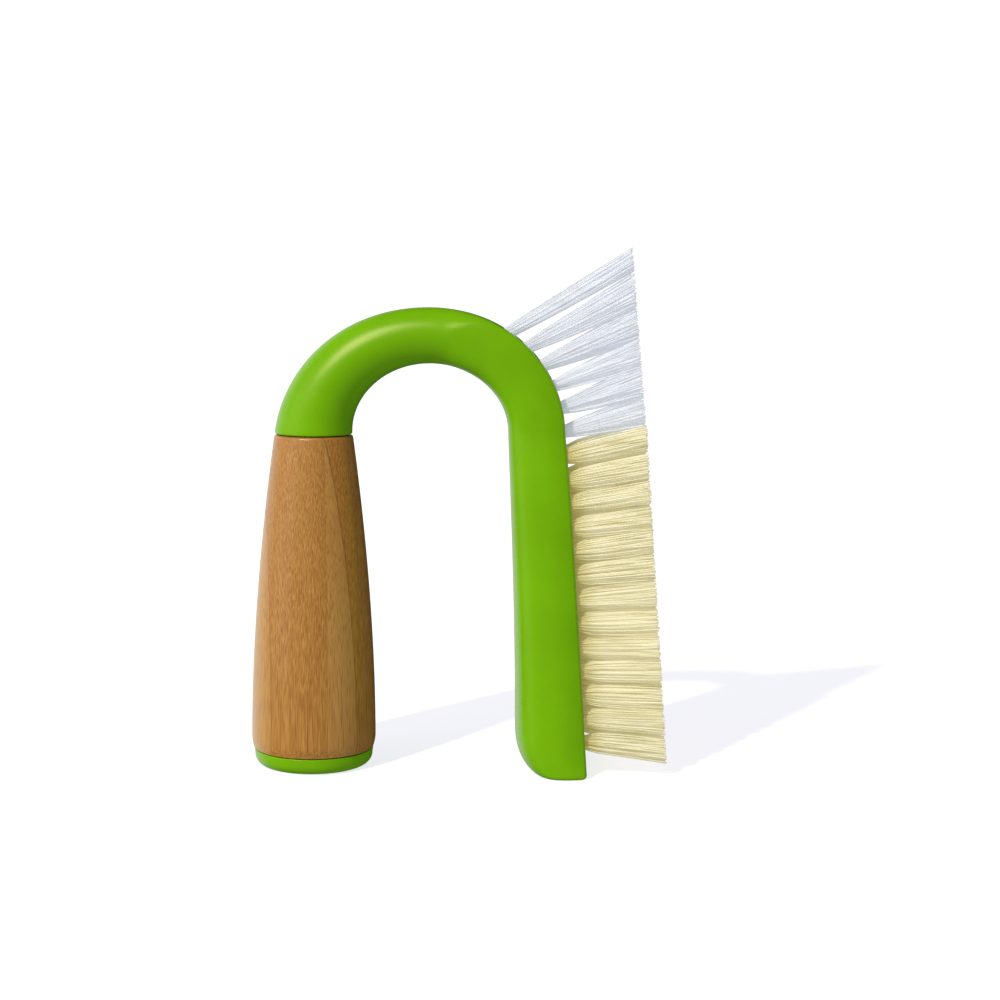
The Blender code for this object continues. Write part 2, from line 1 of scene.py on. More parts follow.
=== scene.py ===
"""Grout brush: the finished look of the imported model, laid out as a Blender add-on.

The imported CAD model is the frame. Each operator lays one finished piece, or a group of like
pieces, over it, and one more sets up the floor, the lights and the camera. All lengths are in
metres. The grip's axis is Z, the floor is Z = 0, the bristles point along +X, and the brush is
alike on both sides of the plane Y = 0.
"""

import math

import bmesh
import bpy
from bpy.props import FloatProperty, FloatVectorProperty, IntProperty, PointerProperty
from mathutils import Color, Matrix, Vector


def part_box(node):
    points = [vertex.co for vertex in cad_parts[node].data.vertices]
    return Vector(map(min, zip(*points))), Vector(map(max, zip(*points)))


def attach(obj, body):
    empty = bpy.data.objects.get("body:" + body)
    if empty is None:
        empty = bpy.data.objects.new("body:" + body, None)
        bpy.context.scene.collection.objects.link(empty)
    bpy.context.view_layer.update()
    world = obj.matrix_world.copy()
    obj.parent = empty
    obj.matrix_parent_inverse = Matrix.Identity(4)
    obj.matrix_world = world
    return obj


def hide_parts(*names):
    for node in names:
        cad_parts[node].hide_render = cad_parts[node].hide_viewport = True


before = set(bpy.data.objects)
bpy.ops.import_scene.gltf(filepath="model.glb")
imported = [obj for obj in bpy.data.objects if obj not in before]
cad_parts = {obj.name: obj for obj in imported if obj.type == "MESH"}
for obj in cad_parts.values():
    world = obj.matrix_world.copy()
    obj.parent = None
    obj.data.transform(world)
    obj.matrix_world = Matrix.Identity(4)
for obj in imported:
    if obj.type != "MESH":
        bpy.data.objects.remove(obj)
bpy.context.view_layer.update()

bl_info = {
    "name": "Grout Brush",
    "version": (1, 0, 0),
    "blender": (4, 5, 0),
    "location": "View3D > Sidebar > Grout Brush",
    "description": "Builds a grout brush of bamboo and plastic, with nylon bristles",
    "category": "Add Mesh",
}

BODY = "root"

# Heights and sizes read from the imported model.
GRIP_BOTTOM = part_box("bamboo_sleeve")[0].z
GRIP_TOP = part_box("bamboo_sleeve")[1].z
GRIP_WIDTH = 2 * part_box("bamboo_sleeve")[1].x
SPIGOT_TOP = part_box("end_cap")[1].z
TANG_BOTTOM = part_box("threaded_insert")[0].z
INSERT_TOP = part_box("threaded_insert")[1].z
INSERT_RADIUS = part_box("threaded_insert")[1].x

# The gap that neighbouring pieces keep.
SEAT_GAP = 0.0003

# The end cap.
CAP_HEIGHT = GRIP_BOTTOM - SEAT_GAP
CAP_SETBACK = 0.0002
CAP_BULGE = 0.0002
CAP_RIM_ROUND_HEIGHT = 0.0034
CAP_RIM_ROUND_WIDTH = 0.0037
CAP_TOP_ROUND = 0.0003
CAP_FLOOR_THICKNESS = 0.0030
CAP_SPIGOT_WALL = 0.0020

# The grip.
GRIP_TOP_ROUND = 0.0010
GRIP_BELLY_RISE = 0.0038
GRIP_FOOT_DRAW = 0.0006
GRIP_EDGE_ROUND = 0.0003
GRIP_FLANK_POWER = 1.78
COUNTERBORE_RADIUS = 0.0120
COUNTERBORE_DEPTH = 0.0165
SCREW_BORE_RADIUS = 0.0028

# The tang and the collar of the moulding.
TANG_RADIUS = 0.0070
TANG_CHAMFER = 0.0008
TANG_END_CLEARANCE = 0.0010
SEAM_HEIGHT = GRIP_TOP + SEAT_GAP
COLLAR_SETBACK = 0.00015
COLLAR_HEIGHT = 0.0009
COLLAR_ROUND = 0.0005
SHOULDER_HEIGHT = SEAM_HEIGHT + COLLAR_HEIGHT

# The arch and the head.
ARCH_TAPER_POWER = 1.7
HEAD_LEAN = 0.0033
HEAD_FLARE_POWER = 0.88
BACK_FULLNESS_POWER = 3.2
FACE_EDGE_ROUND = 0.0016
FLANK_WIDEST_SHARE = 0.58
FLANK_RADIUS = 0.018
FACE_START_ANGLE = math.radians(84)
FACE_FULL_ANGLE = math.radians(58)
TOE_BACK_ROUND_HEIGHT = 0.0130
TOE_BACK_ROUND_DEPTH = 0.0085
TOE_EDGE_ROUND = 0.0014

# The tuft holes and the rows that they stand in.
HOLE_RADIUS = 0.0025
HOLE_DEPTH = 0.0085
HOLE_RIM_CHAMFER = 0.0003
HOLE_OVERRUN = 0.004
FIRST_TUFT_HEIGHT = 0.0107
LAST_CREAM_DROP = 0.0069
BARE_FACE_LENGTH = 0.0223
OUTER_ROW_TOE_MARGIN = 0.0084
OUTER_ROW_TOP_MARGIN = 0.0039
INNER_PAIR_SHARE = 0.34
FAN_TOE_ANGLE = math.radians(-4.9)
FAN_SHOULDER_ANGLE = math.radians(13.0)
FAN_TOP_ANGLE = math.radians(30.5)
CREAM_LINES = 13
PAIRED_LINES = 6
WHITE_LINES = 7

# How far the tips of a tuft spread, in each row and at the two ends of the white row.
SPREADS = {"outer": 0.0041, "inner": 0.0046, "white": 0.0054}
WHITE_TOP_SPREAD = 0.0036
WHITE_LOW_SPREAD = 0.0045

# The trim line that the bristles' tips end on.
CREAM_TOE_REACH = 0.0260
CREAM_TOP_REACH = 0.0260
WHITE_TOP_REACH = 0.0209
TRIM_BEND_RISE = 0.0028
TRIM_TOP_RISE = 0.0568

# How the strands of a tuft stand. Looseness and opening have no unit, the rest are lengths.
CREAM_GROWTH = {
    "Root Reach": 0.0022,
    "Root Depth": 0.003,
    "Looseness": 0.07,
    "Unevenness": 0.0011,
    "Bow": 0.0018,
    "Opening": 0.28,
    "Lean": 0.0006,
}
WHITE_GROWTH = {
    "Root Reach": 0.0019,
    "Root Depth": 0.003,
    "Looseness": 0.06,
    "Unevenness": 0.0013,
    "Bow": 0.0018,
    "Opening": 0.8,
    "Lean": 0.0004,
}

# The seeds of the strands' random values.
SEEDS = {
    "twist": 1,
    "across": 2,
    "upward": 3,
    "shortened": 4,
    "bow": 5,
    "tint": 6,
    "lean_across": 7,
    "lean_upward": 8,
}

# The attributes that the node trees store and read, and their types.
ATTRIBUTE_TYPES = {
    **dict.fromkeys(("aim", "trim_way", "root", "tip", "bow", "opening"), "FLOAT_VECTOR"),
    **dict.fromkeys(("reach", "spread", "along", "hidden", "tint"), "FLOAT"),
    **dict.fromkeys(("tuft", "number", "strand"), "INT"),
}

# How finely the shapes are divided.
TURN_STEPS = 128
FLANK_STEPS = 48
ROUND_STEPS = 6
CAP_ROUND_STEPS = 14
ARCH_STEPS = 110
HEAD_STEPS = 36
TOE_STEPS = 14
QUARTER_STEPS = 14
FLANK_STEPS_ACROSS = 5
OUTLINE_STEPS = 60
HOLE_SIDES = 28
STRAND_POINTS = 6
STRAND_CROWDING = 1.5
STRAND_SIDES = 4
WELD_DISTANCE = 0.000001
SHARP_ANGLE = math.radians(35)
GOLDEN_ANGLE = math.pi * (3 - math.sqrt(5))
QUARTER_TURN = math.pi / 2
FULL_TURN = 2 * math.pi
SIDEWAYS = (0.0, 1.0, 0.0)

# The laminated bamboo: the layers and the strips in them, as directions and distances.
LAYER_DIRECTION = (0.139, 0.990, 0)
LAYER_START = -0.01105
LAYER_THICKNESS = 0.0095
STRIP_DIRECTION = (0.972, 0.233, 0)
STRIP_START = 0.0015
STRIP_WIDTH = 0.0170
STRIP_STAGGER = 0.0063
HIDDEN_SEAM_DEPTH = -0.06

# How wide the bundles of fibre are at the front of a layer, and how much less at its back.
BUNDLE_WIDTH = 0.46
BUNDLE_NARROWING = 0.14

# How dense a pattern is across Z and along it, per metre.
BUNDLE_DENSITY = (3000.0, 52.0)
FIBRE_DENSITY = (5000.0, 75.0)
CLOUD_DENSITY = (160.0, 28.0)
TURNED_LINE_DENSITY = (120.0, 9000.0)

# How dense the bristles' streaks of colour are along X, Y and Z, per metre, and how dark.
STREAKS = (45.0, 620.0, 620.0)
CREAM_SHADE = 0.23
WHITE_SHADE = 0.15

# The photograph's view: the lens, where the camera stood, and how it was tilted.
CAMERA_LENS = 70.0
CAMERA_PLACE = (0.0597, -0.6186, 0.1629)
CAMERA_PITCH = math.radians(90 - 7.04)
CAMERA_ROLL = math.radians(0.6)

# The stage's size, the colours of its floor, and how often light bounces between matt surfaces.
STAGE_RADIUS = 6.0
STAGE_STEPS = 96
FLOOR_TONES = ((0.50, 0.50, 0.51, 1), (0.52, 0.52, 0.53, 1))
FLOOR_GLOW_COLOUR = (0.93, 0.93, 1.0, 1)
MATT_BOUNCES = 10

# The lights: the point that they face, the way towards each, how far away the soft boxes stand and
# how wide they are.
BRUSH_MIDDLE = (0.047, 0, 0.083)
KEY_DIRECTION = (-0.457, -0.629, 0.629)
KEY_ANGLE = math.radians(2.5)
KEY_COLOUR = (1.0, 0.92, 0.82)
GLOSS_DIRECTION = (-0.363, -0.648, 0.672)
GLOSS_DISTANCE = 2.2
GLOSS_WIDTH = 1.0
SIDE_DIRECTION = (-0.88, -0.42, 0.22)
SIDE_DISTANCE = 2.0
SIDE_WIDTH = 1.6

# The domes: the way to the middle of the sweep that the gloss shows, the way up, where the sweep
# and the table fade out along them as shares of the stage's radius, how brightly the domes glow,
# and how much more of the soft light comes from the table.
SWEEP_DIRECTION = (-0.70, 0.71, 0)
UPWARDS = (0, 0, 1)
SWEEP_FADE = (0.6, 0.95)
TABLE_FADE = (-0.4, 0.2)
SURROUND_GLOW = 1.1
SWEEP_GLOW = 1.15
TABLE_BOUNCE = 1.5
SOFT_COLOUR = (0.98, 0.985, 1.0, 1)
WHITE = (1, 1, 1, 1)
BLACK = (0, 0, 0, 1)


# Settings


def length_property(name, description, default):
    return FloatProperty(
        name=name, description=description, default=default, min=0, unit="LENGTH", precision=5
    )


def share_property(name, description, default):
    return FloatProperty(
        name=name, description=description, default=default, min=0, max=1, subtype="FACTOR"
    )


def strength_property(name, description, default):
    return FloatProperty(name=name, description=description, default=default, min=0)


def number_property(name, description, default):
    return IntProperty(name=name, description=description, default=default, min=1)


def colour_property(name, description, default):
    return FloatVectorProperty(
        name=name, description=description, default=default, min=0, max=1, subtype="COLOR_GAMMA"
    )


class GripSettings(bpy.types.PropertyGroup):
    """Sizes and colours of the bamboo grip."""

    diameter: length_property("Diameter", "Diameter at the grip's belly", GRIP_WIDTH)
    top_diameter: length_property("Top Diameter", "Diameter where the grip meets the arch", 0.0250)
    light_strip: colour_property("Light Strip", "Colour of the light strips", (0.695, 0.52, 0.25))
    red_strip: colour_property("Red Strip", "Colour of the red strips", (0.635, 0.435, 0.17))
    dark_strip: colour_property("Dark Strip", "Colour of the layers behind", (0.655, 0.415, 0.12))
    fibre: colour_property("Fibre", "Colour of the fibre bundles", (0.50, 0.29, 0.10))


class MouldingSettings(bpy.types.PropertyGroup):
    """Sizes and colour of the green moulding."""

    top_thickness: length_property("Top Thickness", "Thickness at the top of the arch", 0.0178)
    top_width: length_property("Top Width", "Width at the top of the arch", 0.0172)
    hand_gap_width: length_property("Hand Gap Width", "Clear width between grip and head", 0.0497)
    hand_gap_rise: length_property("Hand Gap Rise", "Rise of the gap above the shoulder", 0.0218)
    shoulder_thickness: length_property("Shoulder Thickness", "Head's thickness on top", 0.0181)
    shoulder_width: length_property("Shoulder Width", "Head's width on top", 0.0184)
    toe_thickness: length_property("Toe Thickness", "Head's thickness at the floor", 0.0228)
    toe_width: length_property("Toe Width", "Head's width at the floor", 0.0430)
    plastic: colour_property("Plastic", "Colour of the moulded plastic", (0.43, 0.68, 0.0))


class TuftSettings(bpy.types.PropertyGroup):
    """Numbers, sizes and colours of the bristles."""

    cream_strands: number_property("Cream Strands", "Bristles in a cream tuft", 115)
    white_strands: number_property("White Strands", "Bristles in a white tuft", 170)
    cream_diameter: length_property("Cream Diameter", "Diameter of a cream bristle", 0.00036)
    white_diameter: length_property("White Diameter", "Diameter of a white bristle", 0.00028)
    cream: colour_property("Cream", "Colour of the stiff bristles", (0.872, 0.853, 0.741))
    # The root colours are painted shade at the bristles' roots, warmed by painted light bounced
    # between them.
    cream_root: colour_property("Cream Root", "Their colour at the roots", (0.73, 0.69, 0.37))
    # The glows are painted light: an emission on the cream and white bristles that stands for
    # light passed on through them.
    cream_glow: share_property("Cream Glow", "Light that the cream bristles let through", 0.26)
    white: colour_property("White", "Colour of the fine bristles", (0.825, 0.84, 0.865))
    white_root: colour_property("White Root", "Their colour at the roots", (0.80, 0.815, 0.845))
    white_glow: share_property("White Glow", "Light that the white bristles let through", 0.28)


class StageSettings(bpy.types.PropertyGroup):
    """The light on the brush."""

    key_strength: strength_property("Key Strength", "Strength of the key light", 2.5)
    gloss_power: strength_property("Gloss Power", "Power of the soft box that the gloss shows", 40)
    side_power: strength_property("Side Power", "Power of the soft light from the left", 7.6)
    surround_strength: share_property("Surround Strength", "Light from all round", 0.40)
    floor_glow: share_property("Floor Glow", "Light of the floor's own", 0.755)


# Meshes


def between(start, end, share):
    return start + (end - start) * share


def evenly(start, end, steps, first=0):
    """Numbers at even steps from a start to an end. The first step may be left out."""
    return [between(start, end, i / steps) for i in range(first, steps + 1)]


def smooth_share(value):
    """Runs from 0 to 1 with no corner at either end."""
    value = min(max(value, 0.0), 1.0)
    return value * value * (3 - 2 * value)


def elliptic_inset(depth, height, round_height):
    """How far an elliptic edge rounding draws a wall in, at a height above its lowest edge."""
    below = max(round_height - height, 0.0) / round_height
    return depth * (1 - math.sqrt(1 - below * below))


def rounded_corner(centre, radius, start_angle):
    """Points of a quarter round in a turned profile, a quarter turn clockwise from an angle."""
    return [
        (centre[0] + radius * math.cos(angle), centre[1] + radius * math.sin(angle))
        for angle in evenly(start_angle, start_angle - QUARTER_TURN, ROUND_STEPS)
    ]


def mesh_from(shape, name):
    """The mesh of a bmesh, which is freed."""
    mesh = bpy.data.meshes.new(name)
    shape.to_mesh(mesh)
    shape.free()
    return mesh


def skin(name, rings, closed=False):
    """A closed skin over rings of equally many points. Its ends are capped, or meet if closed."""
    shape = bmesh.new()
    loops = [[shape.verts.new(point) for point in ring] for ring in rings]
    pairs = list(zip(loops, loops[1:]))
    if closed:
        pairs.append((loops[-1], loops[0]))
    for ring, following in pairs:
        for i in range(len(ring)):
            j = (i + 1) % len(ring)
            shape.faces.new((ring[i], ring[j], following[j], following[i]))
    if not closed:
        shape.faces.new(loops[0])
        shape.faces.new(loops[-1])
    bmesh.ops.remove_doubles(shape, verts=shape.verts, dist=WELD_DISTANCE)
    bmesh.ops.recalc_face_normals(shape, faces=shape.faces)
    return mesh_from(shape, name)


def turned(name, profile, closed=False, steps=TURN_STEPS):
    """A skin turned about the Z axis from (radius, height) points."""
    angles = evenly(0, FULL_TURN, steps)[:-1]
    rings = [
        [(radius * math.cos(angle), radius * math.sin(angle), height) for angle in angles]
        for radius, height in profile
    ]
    return skin(name, rings, closed)


def add_object(name, mesh):
    obj = bpy.data.objects.new(name, mesh)
    bpy.context.scene.collection.objects.link(obj)
    return obj


def smoothed(mesh):
    mesh.shade_smooth()
    mesh.set_sharp_from_angle(angle=SHARP_ANGLE)


def finish_piece(piece, replaced):
    """Names what a finished piece rides on, and the CAD nodes it stands for."""
    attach(piece, BODY)
    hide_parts(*replaced)


def add_turned_piece(name, profile, material, replaced, closed=False):
    """Adds a finished piece that is turned about the grip's axis."""
    mesh = turned(name, profile, closed)
    smoothed(mesh)
    mesh.materials.append(material)
    finish_piece(add_object(name, mesh), replaced)


def nodes_starting(*beginnings):
    """Names of the CAD nodes that begin in one of these ways."""
    return [name for name in sorted(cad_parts) if name.startswith(beginnings)]


# Node trees


class Value:
    """A node's output. Sums and products of it are new math nodes in its tree."""

    def __init__(self, tree, socket):
        self.tree = tree
        self.socket = socket

    def calc(self, operation, *others):
        """The result of a math node that takes this value first."""
        kind = "ShaderNodeVectorMath" if self.socket.type == "VECTOR" else "ShaderNodeMath"
        inputs = dict(enumerate((self, *others)))
        return output_of(self.tree, kind, inputs, operation=operation)

    def __add__(self, other):
        return self.calc("ADD", other)

    def __sub__(self, other):
        return self.calc("SUBTRACT", other)

    def __rsub__(self, number):
        return output_of(self.tree, "ShaderNodeMath", {0: number, 1: self}, operation="SUBTRACT")

    def __mul__(self, other):
        if self.socket.type == "VECTOR" and not isinstance(other, tuple):
            return scaled(self, other)
        return self.calc("MULTIPLY", other)

    def __truediv__(self, other):
        return self.calc("DIVIDE", other)

    def __neg__(self):
        return self * -1.0


def named_socket(sockets, key):
    """The socket in use that has a name, or the one at an index."""
    if isinstance(key, int):
        return sockets[key]
    return next(socket for socket in sockets if socket.name == key and socket.enabled)


def plug(tree, socket, value):
    """Links a value to an input, or sets the input if the value is a plain one."""
    if isinstance(value, Value):
        tree.links.new(value.socket, socket)
    else:
        socket.default_value = value


def add_node(tree, kind, inputs, **properties):
    """A node with its properties set and its inputs plugged in, by their names or indexes."""
    node = tree.nodes.new(kind)
    for name, value in properties.items():
        setattr(node, name, value)
    for key, value in inputs.items():
        plug(tree, named_socket(node.inputs, key), value)
    return node


def output_of(tree, kind, inputs=None, output=0, **properties):
    """One output of a new node, as a value."""
    node = add_node(tree, kind, inputs or {}, **properties)
    return Value(tree, named_socket(node.outputs, output))


def scaled(vector, factor):
    """A vector times a number, where at least one of them is a node's value."""
    tree = vector.tree if isinstance(vector, Value) else factor.tree
    inputs = {"Vector": vector, "Scale": factor}
    return output_of(tree, "ShaderNodeVectorMath", inputs, operation="SCALE")


def distance_along(vector, direction):
    """How far a point lies along a direction."""
    inputs = {0: vector, 1: direction}
    return output_of(
        vector.tree, "ShaderNodeVectorMath", inputs, "Value", operation="DOT_PRODUCT"
    )


# Geometry Nodes


def new_geometry_tree(name, inputs):
    """A tree with a geometry input and output and further inputs, and its inputs as values."""
    tree = bpy.data.node_groups.new(name, "GeometryNodeTree")
    for in_out in ("OUTPUT", "INPUT"):
        tree.interface.new_socket("Geometry", in_out=in_out, socket_type="NodeSocketGeometry")
    for socket_name, kind in inputs.items():
        tree.interface.new_socket(socket_name, in_out="INPUT", socket_type="NodeSocket" + kind)
    sockets = tree.nodes.new("NodeGroupInput").outputs
    return tree, {socket.name: Value(tree, socket) for socket in sockets}


def realized(geometry):
    """Real geometry instead of instances."""
    return output_of(geometry.tree, "GeometryNodeRealizeInstances", {"Geometry": geometry})


def end_tree(geometry, material):
    """The tree's last nodes: real geometry, its material, and the tree's output."""
    inputs = {"Geometry": realized(geometry), "Material": material}
    finished = output_of(geometry.tree, "GeometryNodeSetMaterial", inputs)
    add_node(geometry.tree, "NodeGroupOutput", {"Geometry": finished})


def make_real(obj, tree, values):
    """Runs a Geometry Nodes tree on an object and keeps the result as its plain mesh."""
    modifier = obj.modifiers.new(tree.name, "NODES")
    modifier.node_group = tree
    for item in tree.interface.items_tree:
        if item.in_out == "INPUT" and item.name in values:
            modifier[item.identifier] = values[item.name]
    graph = bpy.context.evaluated_depsgraph_get()
    mesh = bpy.data.meshes.new_from_object(obj.evaluated_get(graph))
    obj.modifiers.remove(modifier)
    guide = obj.data
    obj.data = mesh
    bpy.data.meshes.remove(guide)
    if not mesh.polygons:
        raise RuntimeError(f"{tree.name} made no faces on {obj.name}")
    mesh.name = obj.name
    return mesh


def attributes(tree, *names):
    """The values of stored attributes."""
    kind = "GeometryNodeInputNamedAttribute"
    return [
        output_of(tree, kind, {"Name": name}, "Attribute", data_type=ATTRIBUTE_TYPES[name])
        for name in names
    ]


def store(geometry, **values):
    """The geometry with each value stored on it as an attribute."""
    for name, value in values.items():
        inputs = {"Geometry": geometry, "Name": name, "Value": value}
        kind = "GeometryNodeStoreNamedAttribute"
        geometry = output_of(geometry.tree, kind, inputs, data_type=ATTRIBUTE_TYPES[name])
    return geometry


def random_value(low, high, number, seed, data_type="FLOAT"):
    """A random value or vector that stays the same for the same number."""
    inputs = {"Min": low, "Max": high, "ID": number, "Seed": SEEDS[seed]}
    return output_of(number.tree, "FunctionNodeRandomValue", inputs, "Value", data_type=data_type)


def duplicated(points, amount):
    """Copies of every point, and each copy's number."""
    inputs = {"Geometry": points, "Amount": amount}
    node = add_node(points.tree, "GeometryNodeDuplicateElements", inputs, domain="POINT")
    return [Value(points.tree, node.outputs[name]) for name in ("Geometry", "Duplicate Index")]


def hole_tree():
    """Cuts the shape of a cutter out of the mesh at every guide point, turned to its aim."""
    tree, given = new_geometry_tree(
        "tuft_holes", {"Guides": "Object", "Cutter": "Object", "Material": "Material"}
    )
    guides, cutter = [
        output_of(tree, "GeometryNodeObjectInfo", {"Object": given[name]}, "Geometry")
        for name in ("Guides", "Cutter")
    ]
    (aim,) = attributes(tree, "aim")
    turn = output_of(tree, "FunctionNodeAlignRotationToVector", {"Vector": aim}, axis="Z")
    inputs = {"Points": guides, "Instance": cutter, "Rotation": turn}
    cutters = realized(output_of(tree, "GeometryNodeInstanceOnPoints", inputs))
    inputs = {0: given["Geometry"], 1: cutters, "Self Intersection": True}
    drilled = output_of(
        tree, "GeometryNodeMeshBoolean", inputs, operation="DIFFERENCE", solver="EXACT"
    )
    end_tree(drilled, given["Material"])
    return tree


def place_strands(tufts, given):
    """One point for every strand, which carries the strand's root, its tip and its shape."""
    tree = tufts.tree
    points, number = duplicated(tufts, given["Strands"])
    points = store(points, number=number, strand=output_of(tree, "GeometryNodeInputIndex"))
    number, strand, tuft = attributes(tree, "number", "strand", "tuft")
    aim, trim_way, reach, spread = attributes(tree, "aim", "trim_way", "reach", "spread")
    foot = output_of(tree, "GeometryNodeInputPosition")
    rise = aim.calc("CROSS_PRODUCT", SIDEWAYS)

    # Where a strand stands in its tuft, as shares of the tuft's radius.
    angle = number * GOLDEN_ANGLE + random_value(0.0, FULL_TURN, tuft, "twist")
    share = ((number + 0.5) / given["Strands"]).calc("SQRT")
    loose = given["Looseness"]
    tight = -loose
    across = angle.calc("COSINE") * share + random_value(tight, loose, strand, "across")
    upward = angle.calc("SINE") * share + random_value(tight, loose, strand, "upward")

    root_reach = given["Root Reach"]
    root_depth = given["Root Depth"]
    root = foot - aim * root_depth + scaled(SIDEWAYS, across * root_reach)
    root = root + rise * (upward * root_reach)

    lean = given["Lean"]
    lean_back = -lean
    tip_across = across * spread + random_value(lean_back, lean, tuft, "lean_across")
    tip_upward = upward * spread + random_value(lean_back, lean, tuft, "lean_upward")
    reach = reach - random_value(0.0, given["Unevenness"], strand, "shortened")
    tip = foot + aim * reach + scaled(SIDEWAYS, tip_across) + trim_way * tip_upward

    widening = spread - root_reach
    opening = scaled(SIDEWAYS, across * widening) + rise * (upward * widening)
    bow = random_value((-1, -1, -1), (1, 1, 1), strand, "bow", "FLOAT_VECTOR") * given["Bow"]
    hidden = root_depth / (reach + root_depth)
    tint = random_value(0.0, 1.0, strand, "tint")
    return store(points, root=root, tip=tip, bow=bow, opening=opening, hidden=hidden, tint=tint)


def bristle_tree():
    """Grows a tuft of strands from every guide point, ending on the trim line."""
    sizes = dict.fromkeys(("Strand Diameter", *CREAM_GROWTH), "Float")
    tree, given = new_geometry_tree(
        "bristle_tufts", {"Strands": "Int", **sizes, "Material": "Material"}
    )
    tufts = output_of(tree, "GeometryNodeMeshToPoints", {"Mesh": given["Geometry"]})
    tufts = store(tufts, tuft=output_of(tree, "GeometryNodeInputIndex"))
    points, step = duplicated(place_strands(tufts, given), STRAND_POINTS)
    points = store(points, along=(step / float(STRAND_POINTS - 1)).calc("POWER", STRAND_CROWDING))
    along, hidden, strand = attributes(tree, "along", "hidden", "strand")
    root, tip, bow, opening = attributes(tree, "root", "tip", "bow", "opening")

    # A tuft stands straight in its hole and opens outside it, fast at first.
    outside = (along - hidden) / (1.0 - hidden)
    opened = outside.calc("MAXIMUM", 0.0).calc("POWER", given["Opening"])
    place = root + (tip - root) * along + bow * ((1.0 - along) * along)
    place = place + opening * (opened - along)
    points = output_of(tree, "GeometryNodeSetPosition", {"Geometry": points, "Position": place})
    inputs = {"Points": points, "Curve Group ID": strand, "Weight": along}
    curves = output_of(tree, "GeometryNodePointsToCurves", inputs)
    inputs = {"Resolution": STRAND_SIDES, "Radius": given["Strand Diameter"] * 0.5}
    profile = output_of(tree, "GeometryNodeCurvePrimitiveCircle", inputs)
    inputs = {"Curve": curves, "Profile Curve": profile, "Fill Caps": True}
    strands = output_of(tree, "GeometryNodeCurveToMesh", inputs)
    strands = output_of(tree, "GeometryNodeSetShadeSmooth", {"Geometry": strands})
    end_tree(strands, given["Material"])
    return tree


# Materials


class Finish:
    """A material, its shader, and the point that is shaded, in object coordinates."""

    def __init__(self, name):
        self.material = bpy.data.materials.new(name)
        self.material.use_nodes = True
        self.tree = self.material.node_tree
        self.shader = self.tree.nodes["Principled BSDF"]
        self.point = output_of(self.tree, "ShaderNodeTexCoord", output="Object")

    def set(self, **inputs):
        """Links or sets the shader's inputs, named with underscores for spaces."""
        for name, value in inputs.items():
            plug(self.tree, self.shader.inputs[name.replace("_", " ")], value)

    def bump(self, height, strength, distance):
        """Gives the shader a bump from a height."""
        inputs = {"Height": height, "Strength": strength, "Distance": distance}
        self.set(Normal=output_of(self.tree, "ShaderNodeBump", inputs))


def linear(colour, darkening=1.0):
    """A screen colour as the linear colour that nodes take."""
    return (*(part * darkening for part in Color(colour).from_srgb_to_scene_linear()), 1)


def stretched(point, density):
    """Coordinates for a pattern with one density across Z and another along it."""
    across, along = density
    return point * (across, across, along)


def noise(vector, scale=1.0, detail=2.0, roughness=0.5):
    inputs = {"Vector": vector, "Scale": scale, "Detail": detail, "Roughness": roughness}
    return output_of(vector.tree, "ShaderNodeTexNoise", inputs)


def ranged(value, low, high, to_low=0.0, to_high=1.0):
    """A value carried from one range to another, smoothly, and kept inside it."""
    inputs = {0: value, 1: low, 2: high, 3: to_low, 4: to_high}
    return output_of(value.tree, "ShaderNodeMapRange", inputs, interpolation_type="SMOOTHSTEP")


def mixed(factor, first, second):
    """Two colours mixed."""
    inputs = {"Factor": factor, "A": first, "B": second}
    return output_of(factor.tree, "ShaderNodeMix", inputs, "Result", data_type="RGBA")


def plastic_material(settings):
    """Satin moulded plastic, with a faint cloudiness and the fine texture of its mould."""
    finish = Finish("green_plastic")
    cloud = noise(finish.point, scale=60.0, detail=3.0)
    darker = linear(settings.plastic, 0.95)
    lighter = linear(settings.plastic, 1.04)
    grain = noise(finish.point, scale=1700.0, roughness=0.6)
    ripple = noise(finish.point, scale=240.0, detail=1.0)
    finish.bump(ripple * 0.6 + grain, strength=0.5, distance=0.00002)
    finish.set(
        Base_Color=mixed(ranged(cloud, 0.3, 0.7), darker, lighter),
        Roughness=ranged(grain, 0.2, 0.8, 0.26, 0.34),
        Specular_IOR_Level=0.42,
        Specular_Tint=(1.0, 0.62, 0.42, 1),
    )
    return finish.material


